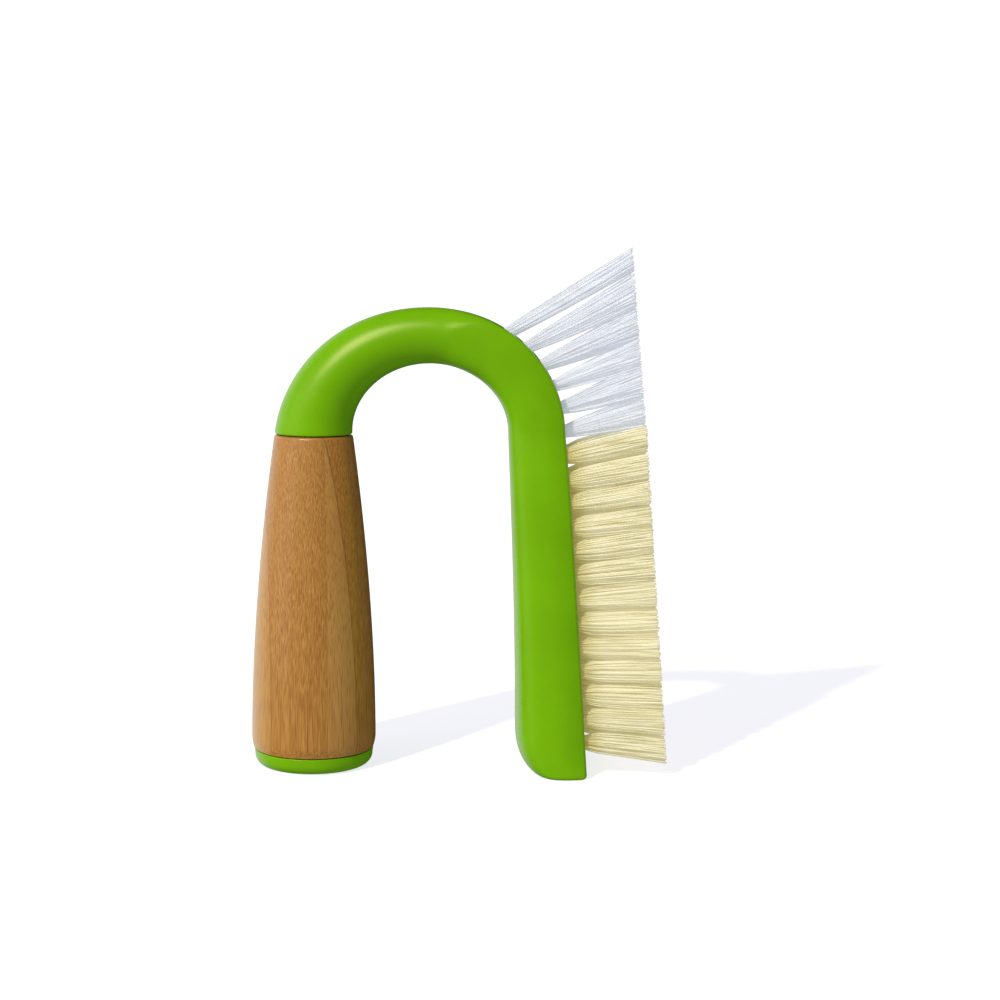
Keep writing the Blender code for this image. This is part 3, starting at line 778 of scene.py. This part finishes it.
def bamboo_material(settings):
    """Laminated bamboo under satin lacquer: strips in layers, and bundles of fibre along Z."""
    finish = Finish("bamboo")
    point = finish.point
    layer = (distance_along(point, LAYER_DIRECTION) - LAYER_START) / LAYER_THICKNESS

    # On the left no seam shows behind the first layer.
    left = distance_along(point, (1, 0, 0)).calc("LESS_THAN", 0.0)
    open_depth = GRIP_WIDTH / LAYER_THICKNESS
    layer = layer.calc("MINIMUM", left * (HIDDEN_SEAM_DEPTH - open_depth) + open_depth)
    layer_number = layer.calc("FLOOR")
    stagger = (layer_number + 1.0) * STRIP_STAGGER
    strip = (distance_along(point, STRIP_DIRECTION) - STRIP_START + stagger) / STRIP_WIDTH

    # Fibre bundles are rods along Z, so a turned flank cuts them to dashes.
    inputs = {"Vector": stretched(point, BUNDLE_DENSITY), "Scale": 1.0}
    bundle = output_of(finish.tree, "ShaderNodeTexVoronoi", inputs)
    bundle_width = layer.calc("FRACT") * -BUNDLE_NARROWING + BUNDLE_WIDTH
    bundle = ranged(1.0 - bundle / bundle_width, 0.0, 0.75)
    fibres = noise(stretched(point, FIBRE_DENSITY), roughness=0.6)

    # Strips take turns in a layer, every other layer is dark, and cloudiness blurs them a little.
    dark_strip = linear(settings.dark_strip)
    strip_turn = strip.calc("FLOOR").calc("FLOORED_MODULO", 2.0)
    layer_turn = layer_number.calc("FLOORED_MODULO", 2.0)
    colour = mixed(strip_turn, linear(settings.light_strip), linear(settings.red_strip))
    colour = mixed(layer_turn, dark_strip, colour)
    cloud = noise(stretched(point, CLOUD_DENSITY), detail=3.0)
    colour = mixed(ranged(cloud, 0.35, 0.75, 0.0, 0.5), colour, dark_strip)
    # Light flecks along the fibres are painted glints of the lacquer, in a lighter colour of the
    # light strips.
    painted_glints = ranged(fibres, 0.42, 0.66, 0.0, 0.75)
    colour = mixed(painted_glints, colour, linear(settings.light_strip, 1.25))
    colour = mixed(bundle * 0.75, colour, linear(settings.fibre))

    # Glue lines where two strips meet.
    near_layer = ranged(layer.calc("PINGPONG", 0.5), 0.006, 0.024, 0.45, 0.0)
    near_strip = ranged(strip.calc("PINGPONG", 0.5), 0.003, 0.012, 0.22, 0.0)
    colour = mixed(near_layer.calc("MAXIMUM", near_strip), colour, linear(settings.fibre, 0.7))

    finish.bump(fibres - bundle, strength=0.5, distance=0.000025)
    finish.set(
        Base_Color=colour,
        Roughness=ranged(fibres, 0.2, 0.8, 0.40, 0.52),
        Specular_IOR_Level=0.4,
        Coat_Weight=0.45,
        Coat_Roughness=0.16,
    )
    return finish.material


def bristle_material(name, colour, root_shade_colour, shade, glow):
    """Nylon bristles, each one a little different, with painted shade at the roots: darker there,
    and warmer from painted light bounced between them.

    The glow is painted light: an emission that stands for the light that real bristles pass on
    through each other.
    """
    finish = Finish(name)
    kind = "ShaderNodeAttribute"
    along, tint = [
        output_of(finish.tree, kind, output="Fac", attribute_type="GEOMETRY", attribute_name=key)
        for key in ("along", "tint")
    ]
    # Painted shade: over the first part of each strand, the colour runs from the darker, warmer
    # root colour to the bristles' own.
    base = mixed(ranged(along, 0.0, 0.40), linear(root_shade_colour), linear(colour))
    streak = noise(finish.point * STREAKS)
    darker = tint.calc("POWER", 2.0) * shade + ranged(streak, 0.45, 0.72, 0.0, shade * 2.0)
    base = mixed(darker, base, linear(root_shade_colour, 0.72))
    # Painted light: the bristles glow in their own colour, though they are no lamp.
    finish.set(
        Base_Color=base,
        Emission_Color=base,
        Emission_Strength=glow,
        Roughness=ranged(streak, 0.2, 0.8, 0.38, 0.52),
        Specular_IOR_Level=0.25,
        Subsurface_Weight=0.7,
        Subsurface_Radius=(1.0, 0.9, 0.7),
        Subsurface_Scale=0.0012,
    )
    finish.material.cycles.emission_sampling = "NONE"
    return finish.material


def metal_material(name, colour, tarnish, roughness):
    """A turned metal fixing: fine lines round its axis and patches of tarnish."""
    finish = Finish(name)
    lines = noise(stretched(finish.point, TURNED_LINE_DENSITY))
    patches = noise(finish.point, scale=420.0, detail=3.0)
    finish.bump(lines, strength=0.3, distance=0.000008)
    finish.set(
        Base_Color=mixed(ranged(patches, 0.45, 0.7), linear(colour), linear(tarnish)),
        Roughness=ranged(patches, 0.3, 0.7, roughness, roughness + 0.14),
        Metallic=1.0,
    )
    return finish.material


# The moulding: the tang, the arch and the brush head


class Station:
    """One cross-section of the moulding: where it is, which way is outwards, and its shape."""

    def __init__(self, back, outward, thickness, width, face_share=0.0):
        self.back = back
        self.outward = outward
        self.thickness = thickness
        self.half_width = width / 2
        self.face_share = face_share

    def face(self):
        """The middle of the section's outer side."""
        return self.back + self.outward * self.thickness

    def ring(self):
        """The section's points, once round, from the middle of its back over the +Y side."""
        front_depth = between(self.thickness / 2, FACE_EDGE_ROUND, self.face_share)
        front_round = between(self.half_width, FACE_EDGE_ROUND, self.face_share)
        widest = self.thickness * between(1 / 2, FLANK_WIDEST_SHARE, self.face_share)
        slope = (self.thickness - front_depth - widest) / FLANK_RADIUS
        first_angle = math.atan(slope * front_depth / front_round)
        flank_end = self.thickness - front_depth * (1 - math.sin(first_angle))
        power = 2 / between(2, BACK_FULLNESS_POWER, self.face_share)
        half = []
        for angle in evenly(0, QUARTER_TURN, QUARTER_STEPS):
            depth = widest * (1 - math.cos(angle) ** power)
            half.append((depth, self.half_width * math.sin(angle) ** power))
        for depth in evenly(widest, flank_end, FLANK_STEPS_ACROSS, first=1):
            half.append((depth, self.half_width - (depth - widest) ** 2 / (2 * FLANK_RADIUS)))
        edge_start = half[-1][1]
        for angle in evenly(first_angle, QUARTER_TURN, QUARTER_STEPS, first=1):
            depth = self.thickness - front_depth * (1 - math.sin(angle))
            inset = front_round * (math.cos(first_angle) - math.cos(angle))
            half.append((depth, edge_start - inset))
        other_half = [(depth, -across) for depth, across in half[:0:-1]]
        return [
            self.back + self.outward * depth + Vector((0, across, 0))
            for depth, across in half + [(self.thickness, 0)] + other_half
        ]


class Moulding:
    """The shape of the green moulding, worked out from its settings."""

    def __init__(self, settings, grip):
        self.sizes = settings
        self.end_diameter = grip.top_diameter - 2 * COLLAR_SETBACK
        self.half_gap = settings.hand_gap_width / 2
        self.arch_centre_x = self.end_diameter / 2 + self.half_gap
        self.head_back_x = self.arch_centre_x + self.half_gap
        self.shoulder_face_x = self.head_back_x + settings.shoulder_thickness
        self.toe_face_x = self.head_back_x + HEAD_LEAN + settings.toe_thickness

    def arch_size(self, top, shoulder, angle):
        """A thickness or width of the arch, with one value at its top and one at the shoulder."""
        past_top = max(angle / QUARTER_TURN - 1, 0.0) ** ARCH_TAPER_POWER
        before_top = max(1 - angle / QUARTER_TURN, 0.0) ** 2
        return top + (self.end_diameter - top) * past_top + (shoulder - top) * before_top

    def arch_station(self, angle):
        """The section of the arch at an angle, from 180 degrees at the grip to 0 at the head."""
        sizes = self.sizes
        rise = sizes.hand_gap_rise
        centre = Vector((self.arch_centre_x, 0, SHOULDER_HEIGHT))
        back = centre + Vector((self.half_gap * math.cos(angle), 0, rise * math.sin(angle)))
        outward = Vector((rise * math.cos(angle), 0, self.half_gap * math.sin(angle))).normalized()
        thickness = self.arch_size(sizes.top_thickness, sizes.shoulder_thickness, angle)
        width = self.arch_size(sizes.top_width, sizes.shoulder_width, angle)
        begun = (FACE_START_ANGLE - angle) / (FACE_START_ANGLE - FACE_FULL_ANGLE)
        return Station(back, outward, thickness, width, smooth_share(begun))

    def head_station(self, height):
        """The section of the brush head at a height, with no rounding of its toe."""
        share = 1 - height / SHOULDER_HEIGHT
        flare = max(share, 0.0) ** HEAD_FLARE_POWER
        lean = HEAD_LEAN * math.sin(QUARTER_TURN * share)
        back = Vector((self.head_back_x + lean, 0, height))
        thickness = between(self.shoulder_face_x, self.toe_face_x, flare) - back.x
        width = between(self.sizes.shoulder_width, self.sizes.toe_width, flare)
        return Station(back, Vector((1, 0, 0)), thickness, width, face_share=1.0)

    def toe_station(self, height):
        """The section near the floor, where the back and the edges round in to the flat foot."""
        station = self.head_station(height)
        back_inset = elliptic_inset(TOE_BACK_ROUND_DEPTH, height, TOE_BACK_ROUND_HEIGHT)
        edge_inset = elliptic_inset(TOE_EDGE_ROUND, height, TOE_EDGE_ROUND)
        station.back.x += back_inset
        station.thickness -= back_inset + edge_inset
        station.half_width -= edge_inset
        return station

    def tang_stations(self):
        """The pocket for the insert, the tang and the collar, all round and on the grip's axis."""
        pocket = INSERT_RADIUS + SEAT_GAP
        end_radius = self.end_diameter / 2
        profile = [
            (pocket, INSERT_TOP + SEAT_GAP),
            (pocket, TANG_BOTTOM),
            (TANG_RADIUS - TANG_CHAMFER, TANG_BOTTOM),
            (TANG_RADIUS, TANG_BOTTOM + TANG_CHAMFER),
            (TANG_RADIUS, SEAM_HEIGHT),
        ]
        for angle in evenly(0, QUARTER_TURN, ROUND_STEPS):
            radius = end_radius - COLLAR_ROUND * (1 - math.sin(angle))
            profile.append((radius, SEAM_HEIGHT + COLLAR_ROUND * (1 - math.cos(angle))))
        return [
            Station(Vector((radius, 0, height)), Vector((-1, 0, 0)), 2 * radius, 2 * radius)
            for radius, height in profile
        ]

    def rings(self):
        """Every section of the moulding, from the insert's pocket over the arch to the toe."""
        stations = self.tang_stations()
        stations += [self.arch_station(angle) for angle in evenly(math.pi, 0, ARCH_STEPS)]
        heights = evenly(SHOULDER_HEIGHT, TOE_BACK_ROUND_HEIGHT, HEAD_STEPS, first=1)
        stations += [self.head_station(height) for height in heights]
        for angle in evenly(0, QUARTER_TURN, TOE_STEPS, first=1):
            height = TOE_BACK_ROUND_HEIGHT * (1 - math.sin(angle))
            if height > TOE_EDGE_ROUND:
                stations.append(self.toe_station(height))
        for angle in evenly(0, QUARTER_TURN, ROUND_STEPS):
            stations.append(self.toe_station(TOE_EDGE_ROUND * (1 - math.sin(angle))))
        return [station.ring() for station in stations]

    def straight_face(self):
        """Points up the middle of the bristle face, from the toe to the shoulder."""
        return [self.head_station(z).face() for z in evenly(0, SHOULDER_HEIGHT, OUTLINE_STEPS)]

    def arched_face(self):
        """Points over the middle of the bristle face, from the shoulder to where it begins."""
        angles = evenly(0, FACE_START_ANGLE, OUTLINE_STEPS)
        return [self.arch_station(angle).face() for angle in angles]


# The bristle tufts


def length_of(outline):
    return sum((end - start).length for start, end in zip(outline, outline[1:]))


def point_along(outline, distance):
    for start, end in zip(outline, outline[1:]):
        length = (end - start).length
        if distance < length:
            return start.lerp(end, distance / length)
        distance -= length
    return outline[-1].copy()


class Tuft:
    """One tuft: its row, the middle of its hole's mouth, the way it points, its tips' spread."""

    def __init__(self, row, foot, angle, spread):
        self.row = row
        self.foot = foot
        self.aim = Vector((math.cos(angle), 0, math.sin(angle)))
        self.spread = spread


class Trim:
    """The line that the tips end on, which bends just above the shoulder."""

    def __init__(self, moulding):
        bend_x = moulding.shoulder_face_x + CREAM_TOP_REACH
        top_x = moulding.shoulder_face_x + WHITE_TOP_REACH
        self.foot = Vector((moulding.toe_face_x + CREAM_TOE_REACH, 0, 0))
        self.bend = Vector((bend_x, 0, SHOULDER_HEIGHT + TRIM_BEND_RISE))
        self.top = Vector((top_x, 0, SHOULDER_HEIGHT + TRIM_TOP_RISE))

    def reach(self, tuft):
        """How far it is from a tuft's foot to the trim line, and the line's slope there."""
        for low, high in ((self.foot, self.bend), (self.bend, self.top)):
            slope = (high.x - low.x) / (high.z - low.z)
            run = low.x + slope * (tuft.foot.z - low.z) - tuft.foot.x
            distance = run / (tuft.aim.x - slope * tuft.aim.z)
            if tuft.foot.z + tuft.aim.z * distance <= self.bend.z:
                break
        return distance, slope


def plan_tufts(moulding):
    """Every tuft's place: staggered cream rows down the head, and a single white row over them.

    The lowest white tuft stands between the top two cream ones.
    """
    straight = moulding.straight_face()
    outline = straight + moulding.arched_face()
    cream_end = length_of(straight) - LAST_CREAM_DROP
    white_end = length_of(outline) - BARE_FACE_LENGTH
    last_line = CREAM_LINES - 1
    toe_offset = moulding.sizes.toe_width / 2 - OUTER_ROW_TOE_MARGIN
    top_offset = moulding.sizes.shoulder_width / 2 - OUTER_ROW_TOP_MARGIN
    tufts = []

    def place_cream(row, line, offset_share):
        share = line / last_line
        foot = point_along(outline, between(FIRST_TUFT_HEIGHT, cream_end, share))
        foot.y = between(toe_offset, top_offset, share) * offset_share
        angle = between(FAN_TOE_ANGLE, FAN_SHOULDER_ANGLE, share)
        tufts.append(Tuft(row, foot, angle, SPREADS[row]))

    for line in range(CREAM_LINES):
        for side in (-1, 1):
            place_cream("outer", line, side)
    for gap in range(last_line - 1):
        sides = (-INNER_PAIR_SHARE, INNER_PAIR_SHARE) if gap < PAIRED_LINES else (0,)
        for side in sides:
            place_cream("inner", gap + 0.5, side)
    white_spreads = [SPREADS["white"]] * WHITE_LINES
    white_spreads[0] = WHITE_LOW_SPREAD
    white_spreads[-1] = WHITE_TOP_SPREAD
    for i, spread in enumerate(white_spreads):
        share = i / (WHITE_LINES - 1)
        foot = point_along(outline, between(cream_end, white_end, share))
        angle = between(FAN_SHOULDER_ANGLE, FAN_TOP_ANGLE, share)
        tufts.append(Tuft("white", foot, angle, spread))
    return tufts


def add_guides(name, tufts, trim):
    """A mesh with one point for each tuft, which carries what the node trees need of it."""
    mesh = bpy.data.meshes.new(name)
    mesh.from_pydata([tuft.foot for tuft in tufts], [], [])
    values = {"aim": [], "trim_way": [], "reach": [], "spread": []}
    for tuft in tufts:
        reach, slope = trim.reach(tuft)
        upwards = Vector((slope, 0, 1))
        rise = Vector((-tuft.aim.z, 0, tuft.aim.x))
        values["aim"].extend(tuft.aim)
        values["trim_way"].extend(upwards / upwards.dot(rise))
        values["reach"].append(reach)
        values["spread"].append(tuft.spread)
    for key, numbers in values.items():
        kind = ATTRIBUTE_TYPES[key]
        field = "vector" if kind == "FLOAT_VECTOR" else "value"
        mesh.attributes.new(key, kind, "POINT").data.foreach_set(field, numbers)
    return add_object(name, mesh)


def current_moulding(scene):
    return Moulding(scene.brush_moulding, scene.brush_grip)


def grow_bristles(scene, kind, growth, shade, pieces):
    """Grows the bristles of one kind, one piece for each row of tufts.

    Each row's piece is given by its name and the CAD nodes that it replaces.
    """
    settings = scene.brush_tufts
    colour, root_shade_colour, glow, strands, diameter = [
        getattr(settings, kind + part) for part in ("", "_root", "_glow", "_strands", "_diameter")
    ]
    slot = f"{kind}_bristle"
    material = bristle_material(slot, colour, root_shade_colour, shade, glow)
    values = {"Strands": strands, "Strand Diameter": diameter, "Material": material, **growth}
    moulding = current_moulding(scene)
    for row, (name, replaced) in pieces.items():
        tufts = [tuft for tuft in plan_tufts(moulding) if tuft.row == row]
        piece = add_guides(name, tufts, Trim(moulding))
        make_real(piece, bristle_tree(), values)
        finish_piece(piece, replaced)


# Operators


class BrushOperator:
    """What all the brush's operators share."""

    bl_options = {"REGISTER", "UNDO"}


class BRUSH_OT_add_moulding(BrushOperator, bpy.types.Operator):
    """Add the green arch and brush head, one moulding with a drilled hole for every tuft"""

    bl_idname = "brush.add_moulding"
    bl_label = "Add Moulding"

    def execute(self, context):
        scene = context.scene
        moulding = current_moulding(scene)
        piece = add_object("arch_and_head", skin("arch_and_head", moulding.rings()))
        guides = add_guides("hole_guides", plan_tufts(moulding), Trim(moulding))
        wide = HOLE_RADIUS + HOLE_RIM_CHAMFER
        profile = [
            (0, HOLE_OVERRUN),
            (wide, HOLE_OVERRUN),
            (wide, 0),
            (HOLE_RADIUS, -HOLE_RIM_CHAMFER),
            (HOLE_RADIUS, -HOLE_DEPTH),
            (0, -HOLE_DEPTH),
        ]
        cutter = add_object("hole_cutter", turned("hole_cutter", profile, steps=HOLE_SIDES))
        material = plastic_material(scene.brush_moulding)
        values = {"Guides": guides, "Cutter": cutter, "Material": material}
        smoothed(make_real(piece, hole_tree(), values))
        for helper in (guides, cutter):
            bpy.data.meshes.remove(helper.data)
        finish_piece(piece, ["arch_body"])
        return {"FINISHED"}


class BRUSH_OT_add_grip(BrushOperator, bpy.types.Operator):
    """Add the turned bamboo grip, bored through for the tang and the fixings"""

    bl_idname = "brush.add_grip"
    bl_label = "Add Grip"

    def execute(self, context):
        settings = context.scene.brush_grip
        belly = GRIP_BOTTOM + GRIP_BELLY_RISE
        flank_top = GRIP_TOP - GRIP_TOP_ROUND
        tang_bore = TANG_RADIUS + SEAT_GAP
        tang_bore_bottom = TANG_BOTTOM - TANG_END_CLEARANCE
        counterbore_top = GRIP_BOTTOM + COUNTERBORE_DEPTH

        def flank_radius(height):
            share = max(height - belly, 0.0) / (GRIP_TOP - belly)
            return between(settings.diameter, settings.top_diameter, share**GRIP_FLANK_POWER) / 2

        corner = (flank_radius(flank_top) - GRIP_TOP_ROUND, flank_top)
        profile = [(tang_bore, GRIP_TOP)]
        profile += rounded_corner(corner, GRIP_TOP_ROUND, QUARTER_TURN)
        for height in evenly(flank_top, belly, FLANK_STEPS, first=1):
            profile.append((flank_radius(height), height))
        foot = GRIP_BOTTOM + GRIP_EDGE_ROUND
        for share in evenly(0, 1, ROUND_STEPS, first=1):
            radius = settings.diameter / 2 - GRIP_FOOT_DRAW * share**2
            profile.append((radius, between(belly, foot, share)))
        corner = (settings.diameter / 2 - GRIP_FOOT_DRAW - GRIP_EDGE_ROUND, foot)
        profile += rounded_corner(corner, GRIP_EDGE_ROUND, 0.0)[1:]
        profile += [
            (COUNTERBORE_RADIUS, GRIP_BOTTOM),
            (COUNTERBORE_RADIUS, counterbore_top),
            (SCREW_BORE_RADIUS, counterbore_top),
            (SCREW_BORE_RADIUS, tang_bore_bottom),
            (tang_bore, tang_bore_bottom),
        ]
        material = bamboo_material(settings)
        replaced = ["bamboo_sleeve"]
        add_turned_piece("bamboo_grip", profile, material, replaced, closed=True)
        return {"FINISHED"}


class BRUSH_OT_add_end_cap(BrushOperator, bpy.types.Operator):
    """Add the green cap that closes the grip and stands on the floor"""

    bl_idname = "brush.add_end_cap"
    bl_label = "Add End Cap"

    def execute(self, context):
        rim = context.scene.brush_grip.diameter / 2 - GRIP_FOOT_DRAW - CAP_SETBACK
        spigot = COUNTERBORE_RADIUS - SEAT_GAP
        hollow = spigot - CAP_SPIGOT_WALL
        profile = [
            (0, CAP_FLOOR_THICKNESS),
            (hollow, CAP_FLOOR_THICKNESS),
            (hollow, SPIGOT_TOP),
            (spigot, SPIGOT_TOP),
            (spigot, CAP_HEIGHT),
        ]
        corner = (rim - CAP_TOP_ROUND, CAP_HEIGHT - CAP_TOP_ROUND)
        profile += rounded_corner(corner, CAP_TOP_ROUND, QUARTER_TURN)
        for angle in evenly(0, QUARTER_TURN, CAP_ROUND_STEPS):
            radius = between(rim - CAP_RIM_ROUND_WIDTH, rim - CAP_BULGE, math.cos(angle))
            profile.append((radius, CAP_RIM_ROUND_HEIGHT * (1 - math.sin(angle))))
        profile.append((0, 0))
        material = plastic_material(context.scene.brush_moulding)
        add_turned_piece("grip_cap", profile, material, ["end_cap"])
        return {"FINISHED"}


class BRUSH_OT_finish_fixings(BrushOperator, bpy.types.Operator):
    """Finish the screw, the washer and the insert that the grip hides"""

    bl_idname = "brush.finish_fixings"
    bl_label = "Finish Fixings"

    def execute(self, context):
        zinc = metal_material("zinc_plating", (0.74, 0.75, 0.77), (0.60, 0.61, 0.60), 0.28)
        brass = metal_material("brass", (0.82, 0.66, 0.34), (0.62, 0.46, 0.20), 0.30)
        finishes = {"tie_screw": zinc, "washer": zinc, "threaded_insert": brass}
        for name, material in finishes.items():
            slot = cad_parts[name].material_slots[0]
            slot.link = "OBJECT"
            slot.material = material
        return {"FINISHED"}


class BRUSH_OT_grow_cream_tufts(BrushOperator, bpy.types.Operator):
    """Grow the stiff cream tufts down the straight side of the head"""

    bl_idname = "brush.grow_cream_tufts"
    bl_label = "Grow Cream Tufts"

    def execute(self, context):
        outer = nodes_starting("cream_tuft_front", "cream_tuft_back")
        inner = nodes_starting("cream_tuft_inner", "cream_tuft_middle")
        pieces = {
            "outer": ("cream_bristles_outer", outer),
            "inner": ("cream_bristles_inner", inner),
        }
        grow_bristles(context.scene, "cream", CREAM_GROWTH, CREAM_SHADE, pieces)
        return {"FINISHED"}


class BRUSH_OT_grow_white_tufts(BrushOperator, bpy.types.Operator):
    """Grow the fine white tufts that fan over the shoulder of the arch"""

    bl_idname = "brush.grow_white_tufts"
    bl_label = "Grow White Tufts"

    def execute(self, context):
        pieces = {"white": ("white_bristles", nodes_starting("white_tuft"))}
        grow_bristles(context.scene, "white", WHITE_GROWTH, WHITE_SHADE, pieces)
        return {"FINISHED"}


class BRUSH_OT_set_stage(BrushOperator, bpy.types.Operator):
    """Set up a white floor and surround, soft studio light and the photograph's camera"""

    bl_idname = "brush.set_stage"
    bl_label = "Set Stage"

    def execute(self, context):
        settings = context.scene.brush_stage
        self.add_floor(settings)
        self.add_surround()
        self.add_reflected_room()
        self.add_soft_room(settings)
        self.add_light(context, settings)
        self.add_camera(context)
        context.scene.view_settings.view_transform = "Standard"
        context.scene.cycles.diffuse_bounces = MATT_BOUNCES
        return {"FINISHED"}

    def add_floor(self, settings):
        """A pale floor whose own glow keeps shadows pale. It doesn't light the brush."""
        shape = bmesh.new()
        bmesh.ops.create_circle(shape, cap_ends=True, segments=STAGE_STEPS, radius=STAGE_RADIUS)
        finish = Finish("pale_floor")
        shade = noise(finish.point, scale=3.0)
        finish.set(
            Base_Color=mixed(shade, *FLOOR_TONES),
            Roughness=0.6,
            Specular_IOR_Level=0.1,
            Emission_Color=FLOOR_GLOW_COLOUR,
            Emission_Strength=settings.floor_glow,
        )
        floor = add_object("floor", mesh_from(shape, "floor"))
        floor.data.materials.append(finish.material)
        floor.visible_diffuse = False
        floor.visible_glossy = False

    def add_dome(self, name, ray):
        """A dome round the stage that only one kind of ray sees, as its finish."""
        shape = bmesh.new()
        bmesh.ops.create_uvsphere(
            shape, u_segments=STAGE_STEPS, v_segments=STAGE_STEPS // 2, radius=STAGE_RADIUS
        )
        bmesh.ops.reverse_faces(shape, faces=shape.faces)
        finish = Finish(name)
        finish.set(Base_Color=BLACK, Emission_Color=WHITE, Specular_IOR_Level=0.0)
        finish.material.cycles.emission_sampling = "NONE"
        dome = add_object(name, mesh_from(shape, name))
        dome.data.materials.append(finish.material)
        for kind in ("camera", "diffuse", "glossy", "transmission", "shadow"):
            setattr(dome, f"visible_{kind}", kind == ray)
        return finish

    def add_surround(self):
        """A white dome that only the camera sees, so that the background is plain white."""
        self.add_dome("white_surround", "camera").set(Emission_Strength=SURROUND_GLOW)

    def add_reflected_room(self):
        """What the gloss shows: a white sweep behind the brush on its left, and a dark room."""
        room = self.add_dome("reflected_room", "glossy")
        nearness = distance_along(room.point, SWEEP_DIRECTION) / STAGE_RADIUS
        room.set(Emission_Strength=ranged(nearness, *SWEEP_FADE, 0.0, SWEEP_GLOW))

    def add_soft_room(self, settings):
        """Even light on all that is matt, more of it from the table below. No gloss shows it."""
        room = self.add_dome("soft_room", "diffuse")
        height = distance_along(room.point, UPWARDS) / STAGE_RADIUS
        above = settings.surround_strength
        glow = ranged(height, *TABLE_FADE, above * TABLE_BOUNCE, above)
        room.set(Emission_Strength=glow, Emission_Color=SOFT_COLOUR)

    def add_lamp(self, context, light, direction, distance, power):
        """A light that faces the brush from a direction."""
        light.energy = power
        lamp = bpy.data.objects.new(light.name, light)
        turn = Vector(direction).to_track_quat("Z", "Y").to_matrix().to_4x4()
        place = Vector(BRUSH_MIDDLE) + Vector(direction).normalized() * distance
        lamp.matrix_world = Matrix.Translation(place) @ turn
        context.scene.collection.objects.link(lamp)
        return lamp

    def add_light(self, context, settings):
        """A sun as the key light, a soft box that only gloss shows, one at the side, no sky."""
        world = bpy.data.worlds.new("dark_world")
        world.use_nodes = True
        world.node_tree.nodes["Background"].inputs["Strength"].default_value = 0.0
        context.scene.world = world
        sun = bpy.data.lights.new("key_light", "SUN")
        sun.angle = KEY_ANGLE
        sun.color = KEY_COLOUR
        key = self.add_lamp(context, sun, KEY_DIRECTION, 0.0, settings.key_strength)
        key.visible_glossy = False
        box = bpy.data.lights.new("gloss_box", "AREA")
        box.size = GLOSS_WIDTH
        gloss = self.add_lamp(context, box, GLOSS_DIRECTION, GLOSS_DISTANCE, settings.gloss_power)
        gloss.visible_diffuse = False
        box = bpy.data.lights.new("side_box", "AREA")
        box.size = SIDE_WIDTH
        self.add_lamp(context, box, SIDE_DIRECTION, SIDE_DISTANCE, settings.side_power)

    def add_camera(self, context):
        """The photograph's camera."""
        lens = bpy.data.cameras.new("photo_camera")
        lens.lens = CAMERA_LENS
        camera = bpy.data.objects.new("photo_camera", lens)
        pitch = Matrix.Rotation(CAMERA_PITCH, 4, "X")
        roll = Matrix.Rotation(CAMERA_ROLL, 4, "Z")
        camera.matrix_world = Matrix.Translation(CAMERA_PLACE) @ pitch @ roll
        context.scene.collection.objects.link(camera)
        context.scene.camera = camera


class BRUSH_PT_panel(bpy.types.Panel):
    """The brush's settings and operators"""

    bl_idname = "BRUSH_PT_panel"
    bl_label = "Grout Brush"
    bl_space_type = "VIEW_3D"
    bl_region_type = "UI"
    bl_category = "Grout Brush"

    def draw(self, context):
        for name in SETTINGS:
            settings = getattr(context.scene, name)
            box = self.layout.box()
            for key in settings.bl_rna.properties.keys():
                if key not in ("rna_type", "name"):
                    box.prop(settings, key)
        for operator in OPERATORS:
            self.layout.operator(operator.bl_idname)


SETTINGS = {
    "brush_grip": GripSettings,
    "brush_moulding": MouldingSettings,
    "brush_tufts": TuftSettings,
    "brush_stage": StageSettings,
}
OPERATORS = (
    BRUSH_OT_add_moulding,
    BRUSH_OT_add_grip,
    BRUSH_OT_add_end_cap,
    BRUSH_OT_finish_fixings,
    BRUSH_OT_grow_cream_tufts,
    BRUSH_OT_grow_white_tufts,
    BRUSH_OT_set_stage,
)


def register():
    for settings in SETTINGS.values():
        bpy.utils.register_class(settings)
    for name, settings in SETTINGS.items():
        setattr(bpy.types.Scene, name, PointerProperty(type=settings))
    for operator in OPERATORS:
        bpy.utils.register_class(operator)
    bpy.utils.register_class(BRUSH_PT_panel)


def unregister():
    bpy.utils.unregister_class(BRUSH_PT_panel)
    for operator in reversed(OPERATORS):
        bpy.utils.unregister_class(operator)
    for name, settings in SETTINGS.items():
        delattr(bpy.types.Scene, name)
        bpy.utils.unregister_class(settings)


def main():
    register()
    bpy.ops.brush.add_moulding()
    bpy.ops.brush.add_grip()
    bpy.ops.brush.add_end_cap()
    bpy.ops.brush.finish_fixings()
    bpy.ops.brush.grow_cream_tufts()
    bpy.ops.brush.grow_white_tufts()
    bpy.ops.brush.set_stage()


if __name__ == "__main__":
    main()
